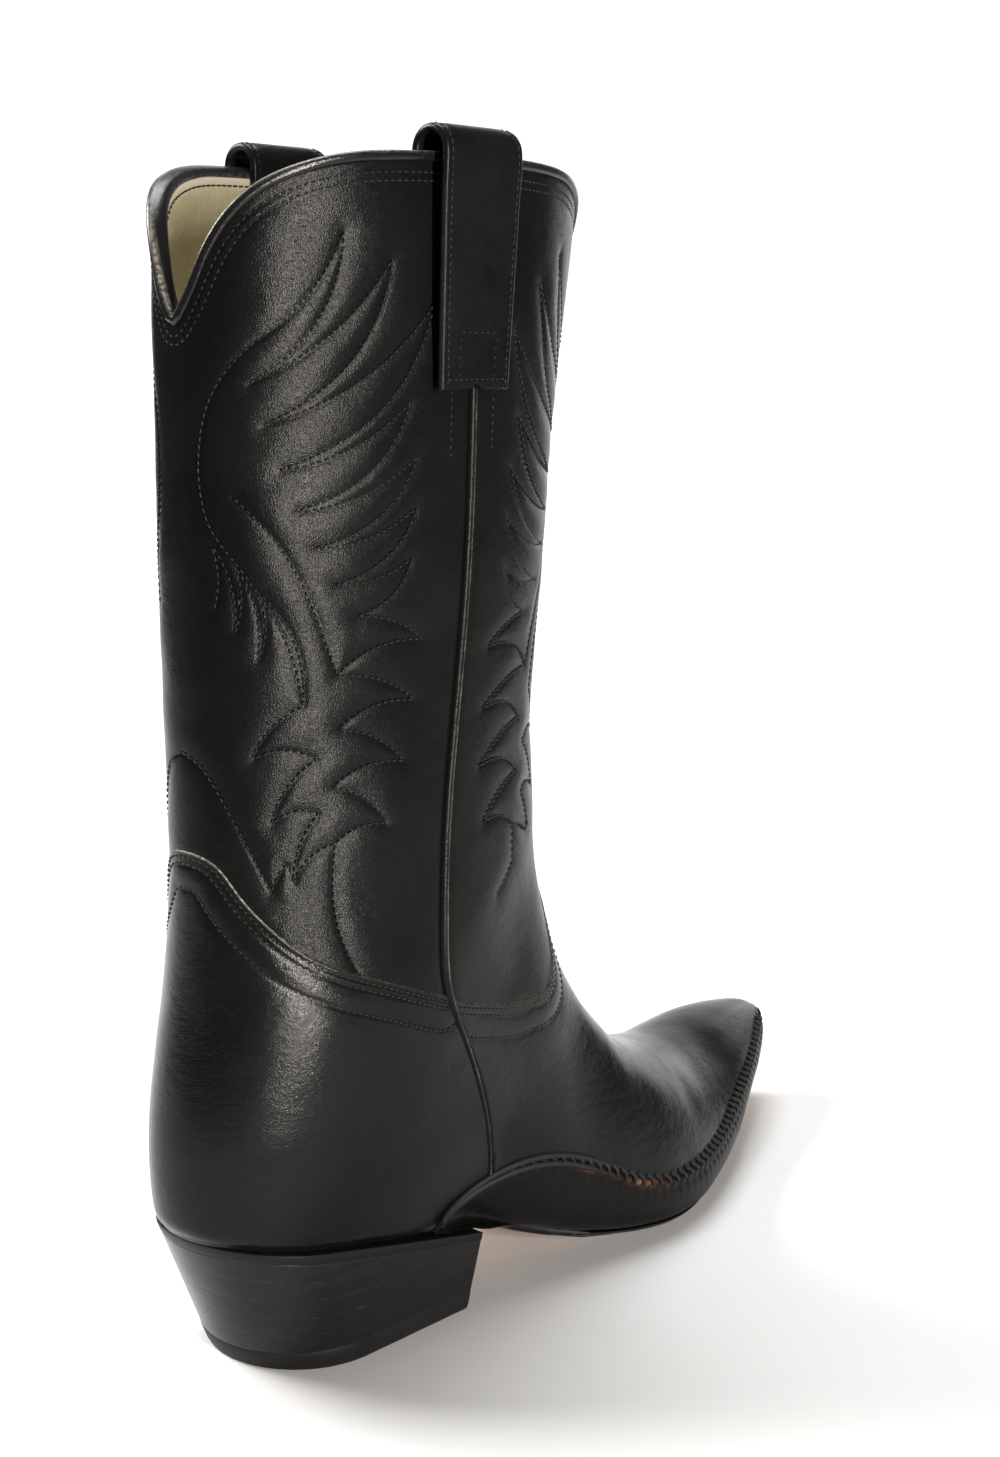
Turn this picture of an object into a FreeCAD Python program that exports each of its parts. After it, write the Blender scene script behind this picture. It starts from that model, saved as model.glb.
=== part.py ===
import FreeCAD, Part
import Sketcher
import math
import os

# Pull-on western boot, right foot.  Millimetres.
# Origin: centre of the heel's rest face on the ground.  +X to the toe, +Y to the inner (left) side, +Z up.
#
# The boot is shaped like the last it is made on.  The last is measured at stations that fan from upright
# (toe) through slanting (instep, heel) to level (shaft).  Each station runs from a point on the sole or
# back outline to a point on the top or front outline, both in the X-Z plane, and has a half width.
# Every layer of leather is the same form, moved in or out by its thickness along the outline's normal.

os.makedirs("parts", exist_ok=True)
doc = FreeCAD.newDocument("cowboy_boot")

# ------------------------------------------------------------------ driving dimensions
DIMENSIONS = [
    ("upper_thick", 2.0, "outer leather of shaft and foot"),
    ("overlay_step", 0.8, "how far vamp, counter and binding stand proud of the shaft leather"),
    ("piping_step", 1.8, "how far the side piping stands proud of the shaft leather"),
    ("stiffener_thick", 1.0, "heel counter and toe box"),
    ("lining_thick", 2.2, "lining with its backing"),
    ("piping_half", 1.2, "half width of the side piping"),
    ("binding_depth", 2.6, "depth of the binding below the rim"),
    ("outsole_thick", 3.2, "outsole leather"),
    ("filler_thick", 4.0, "space between outsole and insole"),
    ("insole_thick", 3.0, "insole board"),
    ("sock_thick", 1.2, "sock lining"),
    ("side_reach", 70.0, "half length of the side view cutters, beyond the boot's sides"),
    ("seat_back", -53.0, "back end of the heel seat"),
    ("seat_breast", 37.5, "front end of the heel seat"),
    ("seat_rise_back", 44.5, "height of the seat at its back end"),
    ("seat_rise_breast", 26.0, "height of the seat at its front end"),
    ("cap_round", 29.5, "radius of the rest face's back"),
    ("cap_back", 35.0, "rest face, from the origin back"),
    ("cap_breast", 35.0, "rest face, from the origin forward"),
    ("cap_half", 30.5, "half width of the rest face at its front end"),
    ("flare_rise", 52.0, "height of the level outline that the heel's flare is drawn to"),
    ("flare_round", 30.7, "radius of that outline's back"),
    ("flare_back", 56.0, "that outline, from the origin back"),
    ("flare_breast", 40.0, "that outline, from the origin forward"),
    ("flare_half", 39.5, "half width of that outline at its front end"),
    ("top_lift_thick", 6.5, "rubber top lift"),
    ("lift_count", 5, "leather lifts in the heel stack"),
    ("strap_thick", 2.4, "folded pull strap"),
    ("strap_low_half", 13.8, "half width of the pull strap at its lower end"),
    ("strap_high_half", 15.4, "half width of the pull strap at the rim"),
    ("strap_centre", 28.4, "middle of the pull strap, from the origin"),
    ("strap_shift", 0.8, "the two straps' mid plane, to the left of the origin"),
    ("strap_top", 352.8, "top of the pull strap"),
    ("strap_end", 281.5, "lower end of the outer leg"),
    ("strap_inner_end", 292.0, "lower end of the inner leg"),
    ("strap_outer_low", 42.2, "outer face of the outer leg at its end, from the mid plane"),
    ("strap_outer_high", 46.2, "outer face of the outer leg at the rim, from the mid plane"),
    ("strap_inner_low", 31.8, "inner face of the inner leg at its end, from the mid plane"),
    ("strap_inner_high", 32.2, "inner face of the inner leg at the rim, from the mid plane"),
    ("toe_box_start", 198.0, "back edge of the toe box stiffener"),
    ("counter_stop", 12.0, "front edge of the heel counter stiffener"),
    ("counter_drop", 14.0, "how far the stiffener stays under the counter cover's edge"),
    ("shank_back", -22.0, "back end of the shank"),
    ("shank_length", 122.0, "steel shank"),
    ("shank_width", 13.0, "steel shank"),
    ("shank_thick", 1.6, "steel shank"),
    ("nail_radius", 1.1, "heel nail"),
    ("cap_nail_radius", 0.9, "top lift nail"),
    ("tack_radius", 1.3, "shank tack"),
    ("lace_radius", 0.9, "lacing thread"),
    ("lace_pitch", 4.2, "distance between lacing stitches"),
    ("lace_length", 5.5, "length of a lacing stitch"),
]

# Stations of the last: sole or back point x, z; top or front point x, z; half width; side shift;
# belly (how far the widest part sits towards the sole, negative) and fullness (below 1 is boxier).
STATION_SIZES = ["low_x", "low_z", "high_x", "high_z", "half_width", "side", "belly", "fullness"]
STATIONS = [
    ("toe_end", [251.6, 21, 251.8, 31.5, 3.2, 16.5, 0.0, 1.0]),
    ("toe_point", [247, 18, 247, 37, 9.3, 18, -0.08, 1.0]),
    ("toe_front", [235.5, 14, 233, 40, 17, 18, -0.21, 0.92]),
    ("toe_box", [211, 10, 207.5, 42, 26.5, 14, -0.32, 0.88]),
    ("toe_root", [184, 5.5, 178, 42, 35, 8.5, -0.43, 0.85]),
    ("tread", [156, 1.5, 144.5, 52, 42, 3.5, -0.52, 0.84]),
    ("ball", [128, -1, 118, 68, 44, 0, -0.58, 0.83]),
    ("waist_front", [97, 1.5, 100.5, 89, 39.5, -1.2, -0.5, 0.86]),
    ("waist", [67, 9.5, 91.2, 109.5, 36, -0.8, -0.36, 0.9]),
    ("instep", [34, 20.7, 86, 128, 35, -0.5, -0.15, 0.89]),
    ("throat", [-4, 8, 83.7, 142, 35.5, -0.5, -0.02, 0.86]),
    ("heel_seat", [-42, 13, 83.2, 153.5, 36.5, -0.8, 0.03, 0.86]),
    ("heel_back", [-56, 59, 83.4, 163.5, 37.2, -1.4, 0.05, 0.92]),
    ("heel_top", [-53, 95.3, 83.4, 174.5, 36.8, -1.7, 0.04, 0.98]),
    ("ankle", [-47.4, 130.3, 84, 189.2, 36.6, -1.1, 0.03, 1.0]),
    ("shaft_low", [-45.8, 169.4, 87.3, 210.2, 37.3, 0.2, 0.05, 1.0]),
    ("shaft_mid", [-45.5, 212, 91.2, 238.3, 38.4, 1.1, 0.06, 1.0]),
    ("shaft_upper", [-45, 256, 95.2, 270.4, 39, 1.6, 0.06, 1.0]),
    ("shaft_high", [-44.5, 300, 100.3, 303, 39.5, 1.3, 0.05, 0.99]),
    ("rim", [-44.6, 345, 106, 344.6, 40.4, 0.5, 0.04, 0.97]),
    ("above_rim", [-44.8, 362, 108.3, 361.6, 40.8, 0.2, 0.04, 0.97]),
]

sheet = doc.addObject("Spreadsheet::Sheet", "sizes")
sheet_row = 0


def add_size(alias, value, note=""):
    """One row of the sheet: a plain number with an alias and a note."""
    global sheet_row
    sheet_row += 1
    sheet.set(f"A{sheet_row}", str(value))
    sheet.setAlias(f"A{sheet_row}", alias)
    sheet.set(f"B{sheet_row}", note or alias.replace("_", " "))


for alias, value, note in DIMENSIONS:
    add_size(alias, value, note)
for station, values in STATIONS:
    for size_name, value in zip(STATION_SIZES, values):
        add_size(f"{station}_{size_name}", value)
doc.recompute()


def size(alias):
    return float(sheet.get(alias))


def vec(x, y, z):
    return FreeCAD.Vector(x, y, z)


# ------------------------------------------------------------------ the last and its layers
SECTION_POINTS = 28
SIDE = size("side_reach")
GROUND_FAR = -60.0


def outline_normal(points, index):
    """Unit normal, in the X-Z plane, of the outline through the station points."""
    before = points[max(index - 1, 0)]
    after = points[min(index + 1, len(points) - 1)]
    along = (after - before).normalize()
    return vec(-along.z, 0, along.x)


def station_list():
    """Every station as a dict of its sizes, read from the sheet."""
    return [{name: size(f"{station}_{name}") for name in STATION_SIZES} for station, _ in STATIONS]


def layer_stations(step):
    """Low point, high point and the other sizes of every station, with the outline moved in by step."""
    stations = station_list()
    lows = [vec(s["low_x"], 0, s["low_z"]) for s in stations]
    highs = [vec(s["high_x"], 0, s["high_z"]) for s in stations]
    layer = []
    for index, s in enumerate(stations):
        low_normal = outline_normal(lows, index)
        high_normal = outline_normal(highs, index)
        low_normal *= math.copysign(1, low_normal.dot(highs[index] - lows[index]))
        high_normal *= math.copysign(1, high_normal.dot(lows[index] - highs[index]))
        layer.append((lows[index] + low_normal * step, highs[index] + high_normal * step,
                      s["half_width"] - step, s["side"], s["belly"], s["fullness"]))
    return layer


def section_point(low, high, half_width, side, belly, fullness, angle):
    """A point of a station's section.  Angle 0 is the sole or back line, pi the top or front line."""
    sine = math.sin(angle)
    reach = -math.cos(angle) + belly * sine * sine
    centre = (low + high) * 0.5
    y = side + math.copysign(half_width * abs(sine) ** fullness, -sine)
    return centre + (high - low) * (0.5 * reach) + vec(0, y, 0)


def skin_through(sections):
    """B-spline surface through closed section curves that share one set of knots."""
    rings = [section.getPoles() for section in sections]
    stations = list(range(len(rings)))
    rails = []
    for points in zip(*rings):
        rail = Part.BSplineCurve()
        rail.interpolate(Points=list(points), Parameters=stations)
        rails.append(rail)
    poles = [list(row) for row in zip(*[rail.getPoles() for rail in rails])]
    surface = Part.BSplineSurface()
    surface.buildFromPolesMultsKnots(
        poles, rails[0].getMultiplicities(), sections[0].getMultiplicities(),
        rails[0].getKnots(), sections[0].getKnots(), False, True, 3, 3)
    return surface


def add_form(name, step, first_station):
    """The last, moved in by step, as a closed solid: a skin through its sections and two flat ends."""
    angles = [2 * math.pi * k / SECTION_POINTS for k in range(SECTION_POINTS)]
    sections = []
    for station in layer_stations(step)[first_station:]:
        curve = Part.BSplineCurve()
        curve.interpolate(Points=[section_point(*station, angle) for angle in angles],
                          PeriodicFlag=True, Parameters=list(range(SECTION_POINTS + 1)))
        sections.append(curve)
    skin = skin_through(sections).toShape()
    ends = [Part.Face(Part.Wire([curve.toShape()])) for curve in (sections[0], sections[-1])]
    shell = Part.makeShell([skin] + ends)
    shell.sewShape()
    form = doc.addObject("Part::Feature", name)
    form.Shape = Part.Solid(shell)
    return form


UPPER = size("upper_thick")
overlay_form = add_form("overlay_form", -size("overlay_step"), 0)
piping_form = add_form("piping_form", -size("piping_step"), 0)
shaft_form = add_form("shaft_form", 0.0, 0)
inner_form = add_form("inner_form", UPPER, 1)
stiffener_form = add_form("stiffener_form", UPPER + size("stiffener_thick"), 1)
cavity_form = add_form("cavity_form", UPPER + size("lining_thick"), 1)
doc.recompute()


# ------------------------------------------------------------------ side view and end view cutters
def curve_edge(points, plane):
    """Smooth edge through (a, b) pairs laid in the X-Z plane ("side") or the Y-Z plane ("end")."""
    place = {"side": lambda a, b: vec(a, -SIDE, b), "end": lambda a, b: vec(0, a, b)}[plane]
    curve = Part.BSplineCurve()
    curve.interpolate([place(a, b) for a, b in points])
    return curve.toShape()


def closed_by_lines(edge, corners):
    """Wire of a smooth edge closed through straight runs over the corner points."""
    stops = [edge.lastVertex().Point] + corners + [edge.firstVertex().Point]
    runs = [Part.LineSegment(a, b).toShape() for a, b in zip(stops, stops[1:])]
    return Part.Wire([edge] + runs)


def add_shape(name, shape):
    """A sub-part or cutter made with Part functions, as an object of the document."""
    item = doc.addObject("Part::Feature", name)
    item.Shape = shape
    return item


def below_curve(points):
    """Side view region under a smooth curve, as a prism across the boot."""
    corners = [vec(points[-1][0], -SIDE, GROUND_FAR), vec(points[0][0], -SIDE, GROUND_FAR)]
    wire = closed_by_lines(curve_edge(points, "side"), corners)
    return Part.Face(wire).extrude(vec(0, 2 * SIDE, 0))


def shifted(points, dx=0.0, dz=0.0):
    return [(a + dx, b + dz) for a, b in points]


# Side seam, low to high: behind it is the counter and the back panel, before it the vamp and front panel.
SEAM = [(45.5, 15), (45, 32), (40, 55), (27, 91), (18.5, 110), (17, 130), (19, 157), (23, 186), (30, 255),
        (31, 300), (31.5, 366)]
# Lacing line, heel to toe: the wrap sole is under it, the foot leather above it.
LACING = [(6, 21), (19, 30), (27, 34.4), (33, 36.8), (38, 38.8), (46, 41.2), (57, 42.6), (70, 41), (82, 36.5),
          (93, 31), (105, 25), (123, 20.5), (141, 20), (164, 21), (189, 24), (217, 28), (240, 32), (262, 36)]
# Top edge of the counter cover, back to seam, and of the vamp, seam to throat.
COUNTER_EDGE = [(-80, 159), (-52, 158.5), (-46.2, 156.5), (-40.5, 146), (-35.8, 137.5), (-27.7, 128.5),
                (-18, 122.5), (-4, 116.5), (8, 111.5), (24, 105), (60, 92)]
VAMP_EDGE = [(12, 109), (24, 104), (44, 98), (60, 93.5), (75, 90.5), (110, 89.5), (280, 89.5)]
# Half width of the vamp's tongue at each height, up the front.
TONGUE = [(30, 78), (30, 88), (27.5, 96), (23.5, 108), (18.5, 120), (11.5, 134), (5, 144), (0, 147)]
# Scalloped rim, seen from the back or the front: half width and height, from the dip outwards.
RIM = [(0, 301.5), (3, 306), (8.5, 317.5), (16, 330), (22, 336.5), (28, 341), (33.5, 344), (41, 345.5),
       (60, 346)]
# Walking side of the insole's bed: the outsole's upper face from the heel's front end to the toe.
OUTSOLE_TOP = [(30, 28), (38, 25.5), (58, 18.5), (76, 11.5), (97, 5.8), (120, 3.45), (140, 3.4), (164, 5.4),
               (189, 9), (217, 13.5), (258, 21)]

# Ends of the cutting prisms, and the boot's middle along X.
FRONT_END = 160.0
SEAM_FRONT = 300.0
RIM_FRONT = 360.0
BACK_END = -90.0
MIDDLE = 31.0


def seam_region(shift):
    """Everything before the side seam, moved forward by shift."""
    edge = curve_edge(shifted(SEAM, dx=shift), "side")
    low_x, low_z = SEAM[0]
    high_z = SEAM[-1][1]
    corners = [vec(SEAM_FRONT, -SIDE, high_z), vec(SEAM_FRONT, -SIDE, GROUND_FAR),
               vec(low_x + shift, -SIDE, GROUND_FAR)]
    return Part.Face(closed_by_lines(edge, corners)).extrude(vec(0, 2 * SIDE, 0))


def rim_region(drop):
    """Everything under the rim, less drop: the back half and the front half share the seen outline."""
    halves = [(-a, b) for a, b in reversed(RIM)] + RIM[1:]
    left = [(a, b - drop) for a, b in halves[:len(RIM)]]
    right = [(a, b - drop) for a, b in halves[len(RIM) - 1:]]
    edges = [curve_edge(left, "end"), curve_edge(right, "end")]
    reach = RIM[-1][0]
    corners = [vec(0, reach, RIM[-1][1] - drop), vec(0, reach, GROUND_FAR), vec(0, -reach, GROUND_FAR),
               vec(0, -reach, RIM[-1][1] - drop)]
    runs = [Part.LineSegment(a, b).toShape() for a, b in zip(corners, corners[1:])]
    face = Part.Face(Part.Wire(edges + runs))
    face.translate(vec(BACK_END, 0, 0))
    return face.extrude(vec(RIM_FRONT - BACK_END, 0, 0))


def tongue_region():
    """The vamp's tongue on the front of the shaft: an upright prism seen from the front."""
    right = curve_edge(TONGUE, "end")
    left = curve_edge([(-a, b) for a, b in reversed(TONGUE)], "end")
    foot = Part.LineSegment(vec(0, -TONGUE[0][0], TONGUE[0][1]), vec(0, TONGUE[0][0], TONGUE[0][1])).toShape()
    face = Part.Face(Part.Wire([foot, right, left]))
    face.translate(vec(MIDDLE, 0, 0))
    return face.extrude(vec(FRONT_END - MIDDLE, 0, 0))


PIPING = size("piping_half")
before_seam = add_shape("before_seam", seam_region(0.0))
before_seam_clear = add_shape("before_seam_clear", seam_region(PIPING))
before_seam_full = add_shape("before_seam_full", seam_region(-PIPING))
under_rim = add_shape("under_rim", rim_region(0.0))
under_binding = add_shape("under_binding", rim_region(size("binding_depth")))
wrap_region = add_shape("wrap_region", below_curve(LACING))
counter_region = add_shape("counter_region", below_curve(COUNTER_EDGE))
vamp_region = add_shape("vamp_region", below_curve(VAMP_EDGE).fuse(tongue_region()).removeSplitter())


def cut(name, base, *tools):
    """Base less the tools, one Part::Cut after another."""
    for index, tool in enumerate(tools):
        item = doc.addObject("Part::Cut", name if index == len(tools) - 1 else f"{name}_cut_{index}")
        item.Base = base
        item.Tool = tool
        base = item
    return base


def common(name, base, *tools):
    """What base and all the tools share, one Part::Common after another."""
    for index, tool in enumerate(tools):
        item = doc.addObject("Part::Common", name if index == len(tools) - 1 else f"{name}_common_{index}")
        item.Base = base
        item.Tool = tool
        base = item
    return base


# Heel seat plane: falls from the back end to the front end of the seat.
SEAT_FALL = (size("seat_rise_back") - size("seat_rise_breast")) / (size("seat_breast") - size("seat_back"))
SEAT_FAR_BACK = -90.0
SEAT_FAR_RISE = size("seat_rise_back") + SEAT_FALL * (size("seat_back") - SEAT_FAR_BACK)


def bed_region(lift):
    """Everything under the line of the heel seat and the outsole's upper face, raised by lift."""
    tread = curve_edge(shifted(OUTSOLE_TOP[1:], dz=lift), "side")
    end_x, end_z = OUTSOLE_TOP[-1]
    corners = [vec(end_x, -SIDE, GROUND_FAR), vec(SEAT_FAR_BACK, -SIDE, GROUND_FAR),
               vec(SEAT_FAR_BACK, -SIDE, SEAT_FAR_RISE + lift)]
    return Part.Face(closed_by_lines(tread, corners)).extrude(vec(0, 2 * SIDE, 0))


FILLER = size("filler_thick")
INSOLE = size("insole_thick")
SOCK = size("sock_thick")
OUTSOLE = size("outsole_thick")
under_outsole = add_shape("under_outsole", bed_region(-OUTSOLE))
under_filler = add_shape("under_filler", bed_region(0.0))
under_insole = add_shape("under_insole", bed_region(FILLER))
under_sock = add_shape("under_sock", bed_region(FILLER + INSOLE))
under_foot = add_shape("under_foot", bed_region(FILLER + INSOLE + SOCK))
doc.recompute()

# ------------------------------------------------------------------ upper: shaft, foot, seams and rim
shaft_shell = cut("shaft_shell", common("shaft_block", shaft_form, under_binding), inner_form)
overlay_block = common("overlay_block", overlay_form, under_rim)
foot_shell = cut("foot_shell", overlay_block, inner_form, under_filler)
piping_block = common("piping_block", piping_form, under_binding)
piping_shell = cut("piping_shell", piping_block, inner_form, under_filler)

front_leather = common("front_leather", shaft_shell, before_seam_clear)
front_shaft_panel = cut("front_shaft_panel", front_leather, vamp_region)
back_leather = cut("back_leather", shaft_shell, before_seam_full)
back_shaft_panel = cut("back_shaft_panel", back_leather, counter_region)

vamp_leather = common("vamp_leather", foot_shell, vamp_region, before_seam_clear)
vamp = cut("vamp", vamp_leather, wrap_region)
counter_leather = common("counter_leather", foot_shell, counter_region)
counter_cover = cut("counter_cover", counter_leather, before_seam_full, wrap_region)
wrap_sole = common("wrap_sole", foot_shell, wrap_region)

seam_strips = common("seam_strips", piping_shell, before_seam_full)
seam_pair = cut("seam_pair", seam_strips, before_seam_clear, wrap_region)
binding_ring = cut("binding_ring", overlay_block, inner_form, under_binding)
top_binding_front = common("top_binding_front", binding_ring, before_seam)
top_binding_back = cut("top_binding_back", binding_ring, before_seam)
doc.recompute()

# ------------------------------------------------------------------ inside: lining and stiffeners
LINING_SPLIT = [(-90, 112), (290, 168)]
foot_lining_region = add_shape("foot_lining_region", below_curve(LINING_SPLIT))
heel_counter_region = add_shape("heel_counter_region",
                                below_curve(shifted(COUNTER_EDGE, dz=-size("counter_drop"))))


def add_box(name, **bounds):
    """Box whose sizes and place are expressions of the sheet."""
    box = doc.addObject("Part::Box", name)
    for key, expression in bounds.items():
        path = f"Placement.Base.{key}" if key in ("x", "y", "z") else key
        box.setExpression(path, expression)
    return box


toe_block = add_box("toe_block", Length="100", Width="2 * sizes.side_reach", Height="100",
                    x="sizes.toe_box_start", y="-sizes.side_reach", z="0")
heel_block = add_box("heel_block", Length="100", Width="2 * sizes.side_reach", Height="200",
                     x="sizes.counter_stop - 100", y="-sizes.side_reach", z="0")

inner_block = common("inner_block", inner_form, under_rim)
lining_shell = cut("lining_shell", inner_block, cavity_form, under_insole)
stiffener_shell = cut("stiffener_shell", inner_block, stiffener_form, under_insole)
toe_box_stiffener = common("toe_box_stiffener", stiffener_shell, toe_block)
heel_counter_stiffener = common("heel_counter_stiffener", stiffener_shell, heel_counter_region, heel_block)

shaft_lining = cut("shaft_lining", lining_shell, foot_lining_region)
front_shaft_lining = common("front_shaft_lining", shaft_lining, before_seam)
back_shaft_lining = cut("back_shaft_lining", shaft_lining, before_seam)
foot_lining = common("foot_lining", lining_shell, foot_lining_region)
vamp_lining = cut("vamp_lining", common("fore_lining", foot_lining, before_seam), toe_box_stiffener)
heel_lining = cut("heel_lining", foot_lining, before_seam, heel_counter_stiffener)

# ------------------------------------------------------------------ heel: stack, lifts and rest face
def heel_outline(body, name, rise, prefix):
    """Level outline of the heel: a half round back, two straight sides and a straight breast."""
    plane = next(f for f in body.Origin.OriginFeatures if f.Role == "XY_Plane")
    sketch = body.newObject("Sketcher::SketchObject", name)
    sketch.AttachmentSupport = (plane, [""])
    sketch.MapMode = "FlatFace"
    if rise:
        sketch.setExpression("AttachmentOffset.Base.z", rise)
    radius = size(f"{prefix}_round")
    centre_x = radius - size(f"{prefix}_back")
    breast_x = size(f"{prefix}_breast")
    half = size(f"{prefix}_half")
    circle = Part.Circle(vec(centre_x, 0, 0), vec(0, 0, 1), radius)
    arc = sketch.addGeometry(Part.ArcOfCircle(circle, math.pi / 2, 3 * math.pi / 2))
    right = sketch.addGeometry(Part.LineSegment(vec(centre_x, -radius, 0), vec(breast_x, -half, 0)))
    breast = sketch.addGeometry(Part.LineSegment(vec(breast_x, -half, 0), vec(breast_x, half, 0)))
    left = sketch.addGeometry(Part.LineSegment(vec(breast_x, half, 0), vec(centre_x, radius, 0)))
    start, end, middle, x_axis = 1, 2, 3, -1
    for constraint in [
            Sketcher.Constraint("Coincident", arc, end, right, start),
            Sketcher.Constraint("Coincident", right, end, breast, start),
            Sketcher.Constraint("Coincident", breast, end, left, start),
            Sketcher.Constraint("Coincident", left, end, arc, start),
            Sketcher.Constraint("PointOnObject", arc, middle, x_axis),
            Sketcher.Constraint("Vertical", arc, start, arc, middle),
            Sketcher.Constraint("Vertical", arc, end, arc, middle),
            Sketcher.Constraint("Symmetric", breast, start, breast, end, x_axis)]:
        sketch.addConstraint(constraint)
    sizes = [
        ("round", Sketcher.Constraint("Radius", arc, radius), f"sizes.{prefix}_round"),
        ("back", Sketcher.Constraint("DistanceX", arc, middle, x_axis, start, -centre_x),
         f"sizes.{prefix}_back - sizes.{prefix}_round"),
        ("breast", Sketcher.Constraint("DistanceX", x_axis, start, breast, start, breast_x),
         f"sizes.{prefix}_breast"),
        ("width", Sketcher.Constraint("DistanceY", breast, start, breast, end, 2 * half),
         f"2 * sizes.{prefix}_half")]
    for label, constraint, expression in sizes:
        index = sketch.addConstraint(constraint)
        sketch.renameConstraint(index, label)
        sketch.setExpression(f"Constraints.{label}", expression)
    return sketch


heel_body = doc.addObject("PartDesign::Body", "heel_body")
cap_outline = heel_outline(heel_body, "cap_outline", None, "cap")
flare_outline = heel_outline(heel_body, "flare_outline", "sizes.flare_rise", "flare")
doc.recompute()
heel_loft = heel_body.newObject("PartDesign::AdditiveLoft", "heel_loft")
heel_loft.Profile = cap_outline
heel_loft.Sections = [flare_outline]
heel_loft.Ruled = True
heel_body.Tip = heel_loft
doc.recompute()

LIFTS = int(size("lift_count"))
TOP_LIFT = size("top_lift_thick")
SEAT_BACK = size("seat_back")
SEAT_BREAST = size("seat_breast")


def lift_plane(share):
    """Height at the seat's back and front ends of the plane that lies this share up the stack."""
    back = TOP_LIFT + share * (size("seat_rise_back") - OUTSOLE - TOP_LIFT)
    front = TOP_LIFT + share * (size("seat_rise_breast") - OUTSOLE - TOP_LIFT)
    return back, front


# How far each lift's slab reaches beyond the seat before it is trimmed to the heel's outline.
LIFT_OVERHANG = 1.2


def lift_region(index):
    """Side view slab of one leather lift.  The planes fan, so each lift is thicker at the back."""
    lower_back, lower_front = lift_plane(index / LIFTS)
    upper_back, upper_front = lift_plane((index + 1) / LIFTS)
    corners = [vec(SEAT_BACK, -SIDE, lower_back), vec(SEAT_BREAST, -SIDE, lower_front),
               vec(SEAT_BREAST, -SIDE, upper_front), vec(SEAT_BACK, -SIDE, upper_back)]
    middle = vec((SEAT_BACK + SEAT_BREAST) / 2, -SIDE, 0)
    lower_slope = (lower_front - lower_back) / (SEAT_BREAST - SEAT_BACK)
    upper_slope = (upper_front - upper_back) / (SEAT_BREAST - SEAT_BACK)
    slopes = [lower_slope, lower_slope, upper_slope, upper_slope]
    for number, (corner, slope) in enumerate(zip(corners, slopes)):
        reach = (corner.x - middle.x) * (LIFT_OVERHANG - 1)
        corners[number] = corner + vec(reach, 0, reach * slope)
    return Part.Face(Part.makePolygon(corners + corners[:1])).extrude(vec(0, 2 * SIDE, 0))


# Heel nails: driven down from the insole, two rows.  Top lift nails: driven up, round the rest face.
NAIL_HEAD = 0.8


def add_nail(name, x, y, low, high, radius, head_radius, head_up):
    """Nail with a flat head at its upper or lower end, as one fused object."""
    shank_part = doc.addObject("Part::Cylinder", f"{name}_stem")
    shank_part.setExpression("Radius", radius)
    shank_part.Height = high - low
    shank_part.Placement.Base = vec(x, y, low)
    head = doc.addObject("Part::Cylinder", f"{name}_head")
    head.setExpression("Radius", head_radius)
    head.Height = NAIL_HEAD
    head.Placement.Base = vec(x, y, high - NAIL_HEAD if head_up else low)
    nail = doc.addObject("Part::Fuse", name)
    nail.Base = shank_part
    nail.Tool = head
    return nail


def add_group(name, items):
    """Identical fasteners as one object of separate solids."""
    group = doc.addObject("Part::Compound", name)
    group.Links = items
    return group


def bed_height(x, lift):
    """Height of the heel seat plane at x, raised by lift."""
    return size("seat_rise_back") - SEAT_FALL * (x - SEAT_BACK) + lift


HEEL_NAIL_LENGTH = 28.0
HEEL_NAIL_SUNK = 1.0
HEEL_NAIL_X = (-34.0, -10.0, 14.0)
HEEL_NAIL_Y = (-13.0, 13.0)
heel_nail_list = []
for x in HEEL_NAIL_X:
    for y in HEEL_NAIL_Y:
        head_height = bed_height(x, FILLER + INSOLE) - HEEL_NAIL_SUNK
        heel_nail_list.append(add_nail(f"heel_nail_{len(heel_nail_list) + 1}", x, y,
                                       head_height - HEEL_NAIL_LENGTH, head_height,
                                       "sizes.nail_radius", "2 * sizes.nail_radius", True))
heel_nails = add_group("heel_nails", heel_nail_list)

CAP_NAIL_INSET = 5.0
CAP_NAIL_LENGTH = 13.0
CAP_NAIL_LOW = 0.2
nail_ring = size("cap_round") - CAP_NAIL_INSET
ring_centre = size("cap_round") - size("cap_back")
CAP_NAIL_ANGLES = (90, 126, 162, 198, 234, 270)
CAP_NAIL_X = (11.0, 28.0)
cap_nail_places = [(ring_centre + nail_ring * math.cos(a), nail_ring * math.sin(a))
                   for a in map(math.radians, CAP_NAIL_ANGLES)]
cap_nail_places += [(x, side * nail_ring) for x in CAP_NAIL_X for side in (-1, 1)]
cap_nail_list = []
for x, y in cap_nail_places:
    cap_nail_list.append(add_nail(f"top_lift_nail_{len(cap_nail_list) + 1}", x, y, CAP_NAIL_LOW,
                                  CAP_NAIL_LOW + CAP_NAIL_LENGTH,
                                  "sizes.cap_nail_radius", "1.7 * sizes.cap_nail_radius", False))
top_lift_nails = add_group("top_lift_nails", cap_nail_list)

heel_lifts = []
for index in range(LIFTS):
    region = add_shape(f"lift_region_{index + 1}", lift_region(index))
    slab = common(f"lift_slab_{index + 1}", heel_body, region)
    heel_lifts.append(cut(f"heel_lift_{index + 1}", slab, heel_nails, top_lift_nails))
cap_block = add_box("cap_block", Length="400", Width="2 * sizes.side_reach", Height="sizes.top_lift_thick",
                    x="-200", y="-sizes.side_reach", z="0")
heel_top_lift = cut("heel_top_lift", common("cap_slab", heel_body, cap_block), top_lift_nails)

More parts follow.
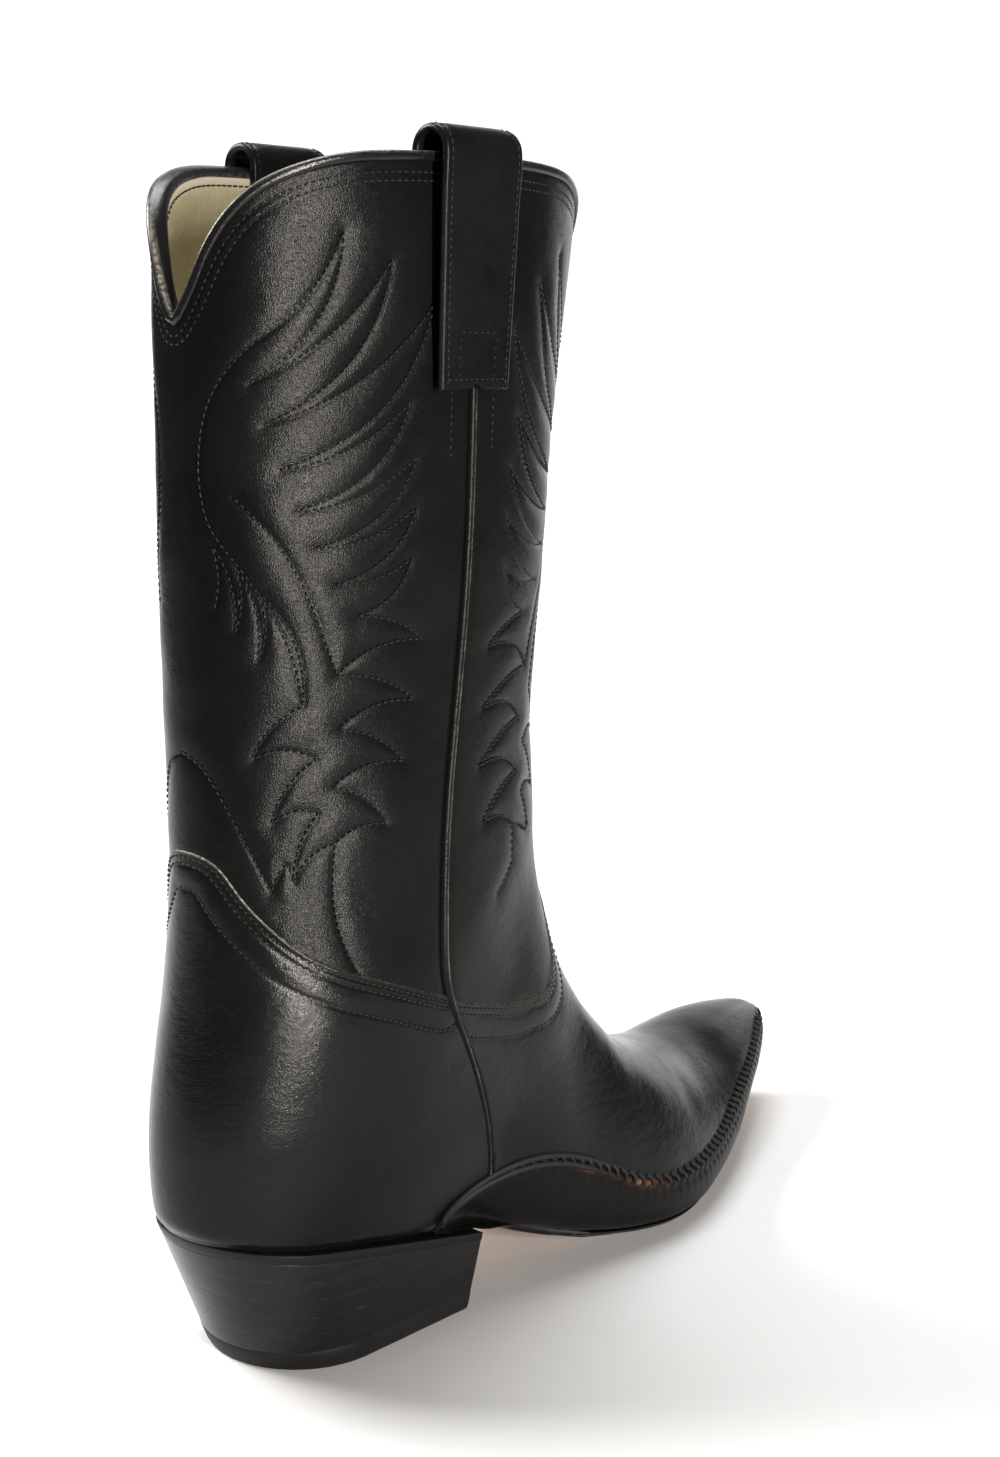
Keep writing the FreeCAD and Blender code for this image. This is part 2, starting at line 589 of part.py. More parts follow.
# ------------------------------------------------------------------ bottom: shank, filler, insole, outsole
SHANK_THICK = size("shank_thick")
under_shank = add_shape("under_shank", bed_region(FILLER - SHANK_THICK))
shank_block = add_box("shank_block", Length="sizes.shank_length", Width="sizes.shank_width", Height="100",
                      x="sizes.shank_back", y="-sizes.shank_width / 2", z="0")
shank_strip = cut("shank_strip", common("shank_prism", shank_block, under_insole), under_shank)

BACK_TACK_X, FRONT_TACK_X = -16.0, 94.0
TACK_LENGTH = 5.2
TACK_UNDER_SHANK = 2.9
BACK_TACK_LOW = bed_height(BACK_TACK_X, FILLER) - TACK_UNDER_SHANK
FRONT_TACK_LOW = 8.2
tack_list = []
for x, low in ((BACK_TACK_X, BACK_TACK_LOW), (FRONT_TACK_X, FRONT_TACK_LOW)):
    tack_list.append(add_nail(f"shank_tack_{len(tack_list) + 1}", x, 0.0, low, low + TACK_LENGTH,
                              "sizes.tack_radius", "1.8 * sizes.tack_radius", False))
shank_tacks = add_group("shank_tacks", tack_list)
shank = cut("shank", shank_strip, shank_tacks)

filler_slab = cut("filler_slab", common("filler_prism", inner_form, under_insole), under_filler)
bottom_filler = cut("bottom_filler", filler_slab, shank_strip, shank_tacks, heel_nails)
insole_slab = cut("insole_slab", common("insole_prism", cavity_form, under_sock), under_insole)
insole = cut("insole", insole_slab, shank_tacks, heel_nails)
sock_lining = cut("sock_lining", common("sock_prism", cavity_form, under_foot), under_sock)

# Plan outline of the outsole, breast to toe: half width at each x.  The heel part has the heel's outline.
OUTSOLE_PLAN = [(30, 17), (48, 17.5), (66, 20.5), (84, 29), (104, 42), (130, 60), (290, 60)]
PLAN_RISE = 160.0


def plan_region():
    """Upright prism of the outsole's outline in front of the heel."""
    side_curve = curve_edge(OUTSOLE_PLAN, "side")
    side_curve.rotate(vec(0, -SIDE, 0), vec(1, 0, 0), -90)
    side_curve.translate(vec(0, SIDE, GROUND_FAR))
    low_x = OUTSOLE_PLAN[0][0]
    high_x, high_half = OUTSOLE_PLAN[-1]
    middle_run = [vec(high_x, 0, GROUND_FAR), vec(low_x, 0, GROUND_FAR)]
    half_face = Part.Face(closed_by_lines(side_curve, middle_run))
    half = half_face.extrude(vec(0, 0, PLAN_RISE))
    other = half.mirror(vec(0, 0, 0), vec(0, 1, 0))
    return half.fuse(other).removeSplitter()


outsole_plan = add_shape("outsole_plan", plan_region())
sole_prism = common("sole_prism", overlay_form, under_filler, outsole_plan)
fore_outsole = cut("fore_outsole", sole_prism, under_outsole)
seat_plate = cut("seat_plate", common("seat_prism", heel_body, under_filler), under_outsole)
outsole_join = doc.addObject("Part::Fuse", "outsole_join")
outsole_join.Base = fore_outsole
outsole_join.Tool = seat_plate
outsole = cut("outsole", outsole_join, heel_nails)
doc.recompute()

# ------------------------------------------------------------------ pull straps: a loop over the rim
STRAP_PRISM_HALF = 30.0
STRAP_SHOULDER = 12.0
OVER_TOP = 400.0


def strap_loop(side):
    """End view of the folded strap, as a prism along the rim: outer leg, arch over the rim, inner leg."""
    thick = size("strap_thick")
    outer_low = size("strap_outer_low")
    outer_high = size("strap_outer_high")
    inner_low = size("strap_inner_low")
    inner_high = size("strap_inner_high")
    arch_radius = (outer_high - inner_high) / 2
    arch_y = (outer_high + inner_high) / 2
    arch_z = size("strap_top") - arch_radius

    def place(y, z):
        return vec(0, side * y + size("strap_shift"), z)

    def arch(radius):
        crown = place(arch_y, arch_z + radius)
        return Part.Arc(place(arch_y + radius, arch_z), crown, place(arch_y - radius, arch_z)).toShape()

    def run(*stops):
        return [Part.LineSegment(place(*a), place(*b)).toShape() for a, b in zip(stops, stops[1:])]

    low = size("strap_end")
    inner_end = size("strap_inner_end")
    edges = run((outer_high - thick, arch_z), (outer_low - thick, low), (outer_low, low),
                (outer_high, arch_z))
    edges += [arch(arch_radius)]
    edges += run((inner_high, arch_z), (inner_low, inner_end), (inner_low + thick, inner_end),
                 (inner_high + thick, arch_z))
    edges += [arch(arch_radius - thick)]
    face = Part.Face(Part.Wire(Part.sortEdges(edges)[0]))
    reach = STRAP_PRISM_HALF
    face.translate(vec(size("strap_centre") - reach, 0, 0))
    return face.extrude(vec(2 * reach, 0, 0))


def strap_outline():
    """Side view of the strap: narrower at its lower end."""
    centre = size("strap_centre")
    low_half = size("strap_low_half")
    high_half = size("strap_high_half")
    low = size("strap_end")
    shoulder = size("strap_top") - STRAP_SHOULDER
    corners = [vec(centre - low_half, -SIDE, low - 1), vec(centre + low_half, -SIDE, low - 1),
               vec(centre + high_half, -SIDE, shoulder), vec(centre + high_half, -SIDE, OVER_TOP),
               vec(centre - high_half, -SIDE, OVER_TOP), vec(centre - high_half, -SIDE, shoulder)]
    return Part.Face(Part.makePolygon(corners + corners[:1])).extrude(vec(0, 2 * SIDE, 0))


strap_trim = add_shape("strap_trim", strap_outline())
wall = cut("wall", overlay_block, cavity_form)
pull_straps = {}
for side_name, side in [("left", 1), ("right", -1)]:
    loop = add_shape(f"strap_loop_{side_name}", strap_loop(side))
    strap = common(f"strap_{side_name}", loop, strap_trim)
    pull_straps[side_name] = cut(f"pull_strap_{side_name}", strap, wall)
doc.recompute()

# ------------------------------------------------------------------ lacing between wrap sole and vamp
# The stitches lean back towards the heel at their upper ends and sit just clear of the leather.
LACE_CLEARANCE = 0.05
LACE_START = 50.0
LACE_END = 243.0
LACE_LEAN = math.radians(-32)
lace_skin = max(overlay_form.Shape.Faces, key=lambda face: face.Area)


def skin_point(x, z, side):
    """Where a level line across the boot at x, z meets the foot leather on one side, and its normal."""
    line = Part.makeLine(vec(x, -SIDE, z), vec(x, SIDE, z))
    inside = overlay_form.Shape.common(line)
    point = max((vertex.Point for vertex in inside.Vertexes), key=lambda p: side * p.y)
    normal = lace_skin.normalAt(*lace_skin.Surface.parameter(point))
    return point, normal * math.copysign(1, side * normal.y)


def lacing_stitches():
    """One leaning bar for each stitch, laid on the leather along the lacing line, both sides."""
    line = curve_edge(LACING, "side")
    curve = line.Curve
    low, high = line.ParameterRange
    pitch = size("lace_pitch")
    radius = size("lace_radius")
    length = size("lace_length")
    count = int(line.Length / pitch)
    spots = [curve.value(curve.parameterAtDistance((k + 0.5) * pitch, low)) for k in range(count)]
    bars = []
    for side in (-1, 1):
        for spot, following in zip(spots, spots[1:]):
            if not LACE_START < spot.x < LACE_END:
                continue
            point, normal = skin_point(spot.x, spot.z, side)
            ahead, _ = skin_point(following.x, following.z, side)
            along = (ahead - point).normalize()
            across = normal.cross(along).normalize()
            lean = along * math.sin(LACE_LEAN) + across * math.cos(LACE_LEAN)
            start = point + normal * (radius + LACE_CLEARANCE) - lean * (length / 2)
            bars.append(Part.makeCylinder(radius, length, start, lean))
    return Part.makeCompound(bars)


sole_lacing = add_shape("sole_lacing", lacing_stitches())

# ------------------------------------------------------------------ side piping: one solid each side
left_half = add_box("left_half", Length="600", Width="sizes.side_reach", Height="500",
                    x="-200", y="0", z="-50")
side_piping_left = common("side_piping_left", seam_pair, left_half)
side_piping_right = cut("side_piping_right", seam_pair, left_half)
doc.recompute()

# ------------------------------------------------------------------ sub-parts, checks and export
SUB_PARTS = [
    front_shaft_panel, back_shaft_panel, vamp, counter_cover, side_piping_left, side_piping_right,
    top_binding_front, top_binding_back, front_shaft_lining, back_shaft_lining, vamp_lining, heel_lining,
    toe_box_stiffener, heel_counter_stiffener, wrap_sole, sole_lacing, sock_lining, insole, bottom_filler,
    shank, shank_tacks, outsole, *heel_lifts, heel_top_lift, heel_nails, top_lift_nails,
    *pull_straps.values(),
]

for item in doc.Objects:
    if "Invalid" in item.State or "Error" in item.State:
        raise RuntimeError(f"{item.Name} failed: {item.State}")
for part in SUB_PARTS:
    shape = part.Shape
    if shape.isNull() or not shape.isValid() or not shape.Solids:
        raise RuntimeError(f"{part.Name} has no valid solid")
    part.Label = part.Name
    shape.exportStep(f"parts/{part.Name}.step")
    bounds = shape.optimalBoundingBox(False)
    print(f"{part.Name:24s} {len(shape.Solids):3d} solids {shape.Volume / 1000:8.2f} cm3  "
          f"x {bounds.XMin:7.1f} {bounds.XMax:7.1f}  y {bounds.YMin:6.1f} {bounds.YMax:6.1f}  "
          f"z {bounds.ZMin:6.1f} {bounds.ZMax:6.1f}")
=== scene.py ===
import math

import bmesh
import bpy
import numpy as np
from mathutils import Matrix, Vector, kdtree


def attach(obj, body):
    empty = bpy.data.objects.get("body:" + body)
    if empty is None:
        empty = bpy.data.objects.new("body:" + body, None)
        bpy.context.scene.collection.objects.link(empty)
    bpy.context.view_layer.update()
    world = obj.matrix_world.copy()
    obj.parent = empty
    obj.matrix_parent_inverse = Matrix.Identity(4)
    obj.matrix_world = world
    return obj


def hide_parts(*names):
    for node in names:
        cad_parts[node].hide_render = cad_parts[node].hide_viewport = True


# Pull-on western boot, right foot.  The leather is laid on the same last as the CAD model.
# Lengths here are in millimetres and become metres when a mesh is made.
# +X to the toe, +Y to the inner (left) side, +Z up, origin at the centre of the heel's rest face.

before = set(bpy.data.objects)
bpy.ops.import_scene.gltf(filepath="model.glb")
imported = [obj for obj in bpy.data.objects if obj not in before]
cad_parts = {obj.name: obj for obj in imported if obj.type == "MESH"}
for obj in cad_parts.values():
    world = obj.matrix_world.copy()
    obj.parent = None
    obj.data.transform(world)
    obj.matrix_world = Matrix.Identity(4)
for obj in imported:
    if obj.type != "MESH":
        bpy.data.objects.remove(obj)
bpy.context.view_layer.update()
MM = 0.001

# ------------------------------------------------------------------ the last
# Sole or back point x, z; top or front point x, z; half width; side shift; belly; fullness.
STATIONS = np.array([
    (251.6, 21, 251.8, 31.5, 3.2, 16.5, 0.0, 1.0),
    (247, 18, 247, 37, 9.3, 18, -0.08, 1.0),
    (235.5, 14, 233, 40, 17, 18, -0.21, 0.92),
    (211, 10, 207.5, 42, 26.5, 14, -0.32, 0.88),
    (184, 5.5, 178, 42, 35, 8.5, -0.43, 0.85),
    (156, 1.5, 144.5, 52, 42, 3.5, -0.52, 0.84),
    (128, -1, 118, 68, 44, 0, -0.58, 0.83),
    (97, 1.5, 100.5, 89, 39.5, -1.2, -0.5, 0.86),
    (67, 9.5, 91.2, 109.5, 36, -0.8, -0.36, 0.9),
    (34, 20.7, 86, 128, 35, -0.5, -0.15, 0.89),
    (-4, 8, 83.7, 142, 35.5, -0.5, -0.02, 0.86),
    (-42, 13, 83.2, 153.5, 36.5, -0.8, 0.03, 0.86),
    (-56, 59, 83.4, 163.5, 37.2, -1.4, 0.05, 0.92),
    (-53, 95.3, 83.4, 174.5, 36.8, -1.7, 0.04, 0.98),
    (-47.4, 130.3, 84, 189.2, 36.6, -1.1, 0.03, 1.0),
    (-45.8, 169.4, 87.3, 210.2, 37.3, 0.2, 0.05, 1.0),
    (-45.5, 212, 91.2, 238.3, 38.4, 1.1, 0.06, 1.0),
    (-45, 256, 95.2, 270.4, 39, 1.6, 0.06, 1.0),
    (-44.5, 300, 100.3, 303, 39.5, 1.3, 0.05, 0.99),
    (-44.6, 345, 106, 344.6, 40.4, 0.5, 0.04, 0.97),
    (-44.8, 362, 108.3, 361.6, 40.8, 0.2, 0.04, 0.97),
], float)
LAST_U = len(STATIONS) - 1
SECTION_POINTS = 28
CURVE_STEPS = 24

SEAM = [(45.5, 15), (45, 32), (40, 55), (27, 91), (18.5, 110), (17, 130), (19, 157), (23, 186), (30, 255),
        (31, 300), (31.5, 366)]
LACING = [(6, 21), (19, 30), (27, 34.4), (33, 36.8), (38, 38.8), (46, 41.2), (57, 42.6), (70, 41), (82, 36.5),
          (93, 31), (105, 25), (123, 20.5), (141, 20), (164, 21), (189, 24), (217, 28), (240, 32), (262, 36)]
WRAP_BACK, LACING_FALL = 19.5, 40
COUNTER_EDGE = [(-80, 159), (-52, 158.5), (-46.2, 156.5), (-40.5, 146), (-35.8, 137.5), (-27.7, 128.5),
                (-18, 122.5), (-4, 116.5), (8, 111.5), (24, 105), (60, 92)]
VAMP_EDGE = [(12, 109), (24, 104), (44, 98), (60, 93.5), (75, 90.5), (110, 89.5), (280, 89.5)]
TONGUE = [(30, 78), (30, 88), (27.5, 96), (23.5, 108), (18.5, 120), (11.5, 134), (5, 144), (0, 147)]
RIM = [(0, 301.5), (3, 306), (8.5, 317.5), (16, 330), (22, 336.5), (28, 341), (33.5, 344), (41, 345.5),
       (60, 346)]
OUTSOLE_TOP = [(38, 25.5), (58, 18.5), (76, 11.5), (97, 5.8), (120, 3.45), (140, 3.4), (164, 5.4),
               (189, 9), (217, 13.5), (258, 21)]
OUTSOLE_PLAN = [(30, 17), (48, 17.5), (66, 20.5), (84, 29), (104, 42), (130, 60), (290, 60)]
SEAT_BACK, SEAT_BREAST = -53.0, 37.5
SEAT_RISE_BACK, SEAT_RISE_BREAST = 44.5, 26.0
OUTSOLE_THICK = 3.2
# Radius of the heel's back, reach back, reach forward and half width at the floor and at HEEL_TOP.
HEEL_FOOT, HEEL_HEAD = (29.5, 35.0, 35.0, 30.5), (30.7, 56.0, 40.0, 39.5)
HEEL_TOP = 52.0


def unit(vectors):
    """Vectors brought to length one."""
    return vectors / (np.linalg.norm(vectors, axis=-1, keepdims=True) + 1e-12)


def chain_length(points):
    """Distance along a line, at each of its points."""
    return np.concatenate([[0], np.cumsum(np.linalg.norm(np.diff(points, axis=0), axis=1))])


def second_differences(values, periodic):
    """Second derivatives, along axis 0, of the smooth curve through evenly spaced values."""
    n = len(values)
    flat = values.reshape(n, -1)
    rows = np.arange(n)
    matrix = np.zeros((n, n))
    for shift, weight in ((0, 4), (1, 1), (-1, 1)):
        matrix[rows, (rows + shift) % n] = weight
    right = 6 * (np.roll(flat, -1, 0) - 2 * flat + np.roll(flat, 1, 0))
    if not periodic:
        slope = np.array([-11 / 6, 3, -3 / 2, 1 / 3])
        matrix[[0, -1]] = 0
        matrix[0, :2], matrix[-1, -2:] = (2, 1), (1, 2)
        right[0] = 6 * (flat[1] - flat[0] - slope @ flat[:4])
        right[-1] = 6 * (flat[-2] - flat[-1] - slope @ flat[::-1][:4])
    return np.linalg.solve(matrix, right).reshape(values.shape)


def inward(points, towards):
    """Unit normals of an outline in the X-Z plane, on the side of towards."""
    index = np.arange(len(points))
    along = unit(points[np.minimum(index + 1, len(points) - 1)] - points[np.maximum(index - 1, 0)])
    normal = np.stack([-along[:, 1], along[:, 0]], 1)
    return normal * np.sign((normal * towards).sum(1, keepdims=True))


def last_grid():
    """Points of the last at stations and angles, and how they move for one millimetre of lift."""
    low, high = STATIONS[:, 0:2], STATIONS[:, 2:4]
    low_in, high_in = inward(low, high - low), inward(high, low - high)
    width, side, belly, fullness = (STATIONS[:, k:k + 1] for k in (4, 5, 6, 7))
    angle = np.arange(SECTION_POINTS) * 2 * math.pi / SECTION_POINTS
    sine = np.sin(angle)[None]
    reach = (-np.cos(angle)[None] + belly * sine * sine)[..., None] * 0.5
    bulge = np.sign(-sine) * np.abs(sine) ** fullness
    plane = ((low + high) / 2)[:, None] + (high - low)[:, None] * reach
    move = -(((low_in + high_in) / 2)[:, None] + (high_in - low_in)[:, None] * reach)
    points = np.stack([plane[..., 0], side + width * bulge, plane[..., 1]], -1)
    lifts = np.stack([move[..., 0], bulge, move[..., 1]], -1)
    return np.concatenate([points, lifts], -1)


GRID = last_grid()
GRID_U = second_differences(GRID, False)
GRID_V = np.swapaxes(second_differences(np.swapaxes(GRID, 0, 1), True), 0, 1)
GRID_UV = second_differences(GRID_V, False)


def skin(u, v, lift=0.0):
    """Points of the last at station u and angle v, lifted outwards by lift."""
    u, v, lift = np.broadcast_arrays(u, v, lift)
    i = np.clip(np.floor(u).astype(int), 0, LAST_U - 1)
    w = np.mod(v, 2 * math.pi) * SECTION_POINTS / (2 * math.pi)
    j = np.floor(w).astype(int) % SECTION_POINTS
    f, h = (u - i)[..., None], (w - np.floor(w))[..., None]
    out = 0
    for di, a in ((0, 1 - f), (1, f)):
        b = (a ** 3 - a) / 6
        for dj, c in ((0, 1 - h), (1, h)):
            d = (c ** 3 - c) / 6
            at = (i + di, (j + dj) % SECTION_POINTS)
            out = out + a * c * GRID[at] + b * c * GRID_U[at] + a * d * GRID_V[at] + b * d * GRID_UV[at]
    return out[..., :3] + out[..., 3:] * lift[..., None]


def outward(u, v):
    """Unit normals of the last, pointing out of the boot."""
    step = 0.01
    du = skin(u + step, v) - skin(u - step, v)
    dv = skin(u, v + step) - skin(u, v - step)
    normal = unit(np.cross(dv, du))
    flip = np.sign(((skin(u, v, 1.0) - skin(u, v)) * normal).sum(-1, keepdims=True))
    return normal * np.where(flip == 0, 1, flip)


def smooth_line(points):
    """Dense points of a smooth curve through the given points, by chord length."""
    p = np.array(points, float)
    t = chain_length(p)
    n = len(p)
    matrix = np.eye(n)
    right = np.zeros_like(p)
    h = np.diff(t)
    for k in range(1, n - 1):
        matrix[k, k - 1:k + 2] = (h[k - 1], 2 * (h[k - 1] + h[k]), h[k])
        right[k] = 6 * ((p[k + 1] - p[k]) / h[k] - (p[k] - p[k - 1]) / h[k - 1])
    bend = np.linalg.solve(matrix, right)
    f = np.linspace(0, 1, CURVE_STEPS, endpoint=False)[:, None]
    g = 1 - f
    out = [g * p[k] + f * p[k + 1] + ((g ** 3 - g) * bend[k] + (f ** 3 - f) * bend[k + 1]) * h[k] ** 2 / 6
           for k in range(n - 1)]
    return np.concatenate(out + [p[-1:]])


def line_over(points, key=0):
    """A smooth curve as a function of one of its two coordinates."""
    dense = smooth_line(points)
    order = np.argsort(dense[:, key])
    known, value = dense[order, key], dense[order, 1 - key]
    return lambda at: np.interp(at, known, value)


seam_x = line_over(SEAM, 1)
lacing_line = line_over(LACING)
counter_z = line_over(COUNTER_EDGE)
vamp_z = line_over(VAMP_EDGE)
tongue_half = line_over(TONGUE, 1)
rim_z = line_over(RIM)
tread_z = line_over(OUTSOLE_TOP)
plan_half = line_over(OUTSOLE_PLAN)
SEAT_FALL = (SEAT_RISE_BACK - SEAT_RISE_BREAST) / (SEAT_BREAST - SEAT_BACK)


def lacing_z(x):
    """Height of the lacing line, which drops off where the wrap sole ends on the heel seat."""
    return lacing_line(x) - LACING_FALL * np.clip((WRAP_BACK - x) / 1.5, 0, 1)


def bed_z(x):
    """Height of the heel seat plane and, in front of it, of the outsole's upper face."""
    return np.where(x < OUTSOLE_TOP[0][0], SEAT_RISE_BACK - SEAT_FALL * (x - SEAT_BACK), tread_z(x))


U_FINE = np.linspace(0, LAST_U, 801)
V_FINE = np.linspace(0, math.pi, 361)
SIDE_VIEW = skin(U_FINE[:, None], V_FINE[None, :])


def angle_where(measure):
    """The largest angle of each section at which measure(x, z) is negative, as a function of u."""
    m = measure(SIDE_VIEW[..., 0], SIDE_VIEW[..., 2])
    angles = np.zeros(len(U_FINE))
    for k, row in enumerate(m):
        under = np.nonzero(row < 0)[0]
        if not len(under):
            continue
        j = under[-1]
        if j == len(row) - 1:
            angles[k] = math.pi
        else:
            angles[k] = V_FINE[j] + (V_FINE[1] - V_FINE[0]) * row[j] / (row[j] - row[j + 1])
    return lambda u: np.interp(u, U_FINE, angles)


NOISE_FACTORS = np.array([374761393, 668265263, 1274126177])
NOISE_SEED, NOISE_MASK = 974634777, 0xFFFFFFFF


def smooth_step(t):
    """A share from 0 to 1, eased at both ends."""
    return t * t * (3 - 2 * t)


def value_noise(points, scale, seed):
    """Smooth noise from -1 to 1 at points."""
    q = np.asarray(points) * scale
    i = np.floor(q).astype(np.int64)
    f = smooth_step(q - i)
    out = 0
    for corner in np.ndindex(2, 2, 2):
        n = (((i + corner) * NOISE_FACTORS).sum(-1) + seed * NOISE_SEED) & NOISE_MASK
        n = ((n ^ (n >> 13)) * 1103515245) & NOISE_MASK
        out = out + np.where(corner, f, 1 - f).prod(-1) * (((n ^ (n >> 16)) & 0xFFFF) / 32767.5 - 1)
    return out


# ------------------------------------------------------------------ meshes
def add_object(name, data):
    """A new object of the scene."""
    item = bpy.data.objects.new(name, data)
    bpy.context.scene.collection.objects.link(item)
    return item


def add_piece(name, verts, faces, slot, nodes, material, attributes=None, sharp=40):
    """A closed mesh in millimetres as a piece of the boot."""
    mesh = bpy.data.meshes.new(name)
    mesh.from_pydata((np.asarray(verts) * MM).tolist(), [], faces)
    for key, values in (attributes or {}).items():
        layer = mesh.attributes.new(key, "FLOAT", "POINT")
        layer.data.foreach_set("value", np.asarray(values, np.float32))
    bm = bmesh.new()
    bm.from_mesh(mesh)
    bmesh.ops.recalc_face_normals(bm, faces=bm.faces)
    bm.to_mesh(mesh)
    bm.free()
    mesh.polygons.foreach_set("use_smooth", [True] * len(mesh.polygons))
    mesh.set_sharp_from_angle(angle=math.radians(sharp))
    mesh.materials.append(material)
    piece = add_object(name, mesh)
    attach(piece, "root")
    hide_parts(*nodes)


def grid_faces(rows, cols, start=0, flip=False):
    """Quads of a grid of vertices that begins at index start."""
    a = start + np.arange(rows - 1)[:, None] * cols + np.arange(cols - 1)[None]
    quads = np.stack([a, a + 1, a + cols + 1, a + cols], -1).reshape(-1, 4)
    return (quads[:, ::-1] if flip else quads).tolist()


def border(rows, cols):
    """Indices round a grid's border, in order."""
    top = [(0, c) for c in range(cols)]
    right = [(r, cols - 1) for r in range(1, rows)]
    bottom = [(rows - 1, c) for c in range(cols - 2, -1, -1)]
    left = [(r, 0) for r in range(rows - 2, 0, -1)]
    return [r * cols + c for r, c in top + right + bottom + left]


def shell(outer, inner, coarse):
    """Vertices and faces of a closed sheet: a fine outer grid and an inner grid with every coarse-th line."""
    rows, cols = outer.shape[:2]
    in_rows, in_cols = inner.shape[:2]
    verts = np.concatenate([outer.reshape(-1, 3), inner.reshape(-1, 3)])
    start = rows * cols
    faces = grid_faces(rows, cols) + grid_faces(in_rows, in_cols, start, True)
    out_ring = border(rows, cols)
    in_ring = [start + k for k in border(in_rows, in_cols)]
    n = len(in_ring)
    for k in range(n):
        run = [out_ring[(k * coarse + m) % len(out_ring)] for m in range(coarse + 1)]
        faces.append(run[::-1] + [in_ring[k], in_ring[(k + 1) % n]])
    return verts, faces


def even_places(length, count, edges):
    """Distances along a run: a few close to each end, the rest evenly spread."""
    edges = np.asarray(edges, float)
    inner = np.linspace(edges[-1], length - edges[-1], count - 2 * (len(edges) - 1))
    return np.concatenate([edges[:-1], inner, length - edges[:-1][::-1]])


EDGE_PLACES = (0.0, 0.12, 0.4, 0.8)


def lay_grid(shares, angle_of, inside, span, rows):
    """Station and angle at every row and column, where each column runs as far as inside holds.
    Also the distances, in millimetres, from the lower and the upper end of the column."""
    us = np.linspace(*span, 700)
    step = us[1] - us[0]
    points = skin(us, angle_of(us, shares[:, None]))
    m = inside(points[..., 0], points[..., 1], points[..., 2])
    grid_u, low_run, high_run = np.zeros((3, rows, len(shares)))
    for c, share in enumerate(shares):
        held = np.nonzero(m[c] > 0)[0]
        a, b = held[0], held[-1]
        start = us[a] if a == 0 else us[a] - step * m[c, a] / (m[c, a] - m[c, a - 1])
        stop = us[b] if b == len(us) - 1 else us[b] + step * m[c, b] / (m[c, b] - m[c, b + 1])
        run = np.linspace(start, stop, 400)
        far = chain_length(skin(run, angle_of(run, share)))
        places = even_places(far[-1], rows, EDGE_PLACES)
        grid_u[:, c] = np.interp(places, far, run)
        low_run[:, c] = places
        high_run[:, c] = far[-1] - places
    return grid_u, angle_of(grid_u, shares), low_run, high_run


def side_runs(points):
    """Distance of each grid point from the first and from the last column."""
    step = np.linalg.norm(np.diff(points, axis=1), axis=2)
    run = np.concatenate([np.zeros((len(points), 1)), np.cumsum(step, axis=1)], 1)
    return run, run[:, -1:] - run


def edge_drop(distance, radius, depth):
    """How far a rounded edge falls at a distance from the border."""
    t = np.clip(1 - distance / radius, 0, 1)
    return -depth * (1 - np.sqrt(np.clip(1 - t * t, 0, 1)))


# ------------------------------------------------------------------ stitch lines
def even_line(points, step):
    """The same line with points every step."""
    far = chain_length(points)
    count = max(2, int(round(far[-1] / step)) + 1)
    at = np.linspace(0, far[-1], count)
    return sample(points, at, far)


STITCH_STEPS = np.array([0.0, 0.14, 0.5, 0.86, 1.0])
STITCH_WIDTH = np.array([0.35, 0.9, 1.0, 0.9, 0.35])
STITCH_RISE = np.array([-1.3, 0.1, 0.5, 0.1, -1.3])
STITCH_SIDES = 6
CLOUD_STEP, PATTERN_STEP = 0.35, 0.8


def sample(data, at, far):
    """Rows of data, known at distances far, at other distances."""
    return np.stack([np.interp(at, far, data[:, k]) for k in range(data.shape[1])], -1)


def tube(rings):
    """Vertices and faces of rings joined along a path, with flat ends."""
    n, m = rings.shape[:2]
    faces = []
    for a in range(0, (n - 1) * m, m):
        faces += [[a + k, a + (k + 1) % m, a + m + (k + 1) % m, a + m + k] for k in range(m)]
    faces += [list(range(m))[::-1], [(n - 1) * m + k for k in range(m)]]
    return rings.reshape(-1, 3), faces


def join(parts):
    """Several (vertices, faces) as one."""
    verts, faces, start = [], [], 0
    for v, f in parts:
        verts.append(v)
        faces += [[k + start for k in face] for face in f]
        start += len(v)
    return np.concatenate(verts), faces


def rings_round(centre, first, second, radius, sides):
    """Rings round the points of centre, in the plane of two directions."""
    around = (np.arange(sides) * 2 * math.pi / sides)[:, None]
    return centre[..., None, :] + radius * (np.cos(around) * first[..., None, :]
                                            + np.sin(around) * second[..., None, :])


def stitch_parts(lines, pitch, length, radius):
    """Vertices and faces of thread stitches along lines of (points, outward normals)."""
    parts = []
    for points, normals in lines:
        far = chain_length(points)
        count = int(far[-1] / pitch)
        first = (np.arange(count) + 0.5) * (far[-1] / count) - length / 2
        at = first[:, None] + STITCH_STEPS * length
        centre, normal = sample(points, at, far), unit(sample(normals, at, far))
        across = np.cross(normal, unit(centre[:, -1:] - centre[:, :1]))
        centre = centre + normal * (STITCH_RISE * radius)[:, None]
        wide = (STITCH_WIDTH * radius)[:, None, None]
        parts += [tube(stitch) for stitch in rings_round(centre, across, normal, wide, STITCH_SIDES)]
    return join(parts)


def nearest_distance(points, lines):
    """Distance from each grid point to the nearest stitch line."""
    cloud = np.concatenate([even_line(line[0], CLOUD_STEP) for line in lines])
    tree = kdtree.KDTree(len(cloud))
    for k, p in enumerate(cloud):
        tree.insert(p, k)
    tree.balance()
    flat = points.reshape(-1, 3)
    found = np.array([tree.find(p)[2] for p in flat])
    return found.reshape(points.shape[:-1])


def on_surface(line_u, line_v, lift=0.0):
    """A line of stations and angles as points and outward normals."""
    return skin(line_u, line_v, lift), outward(line_u, line_v)


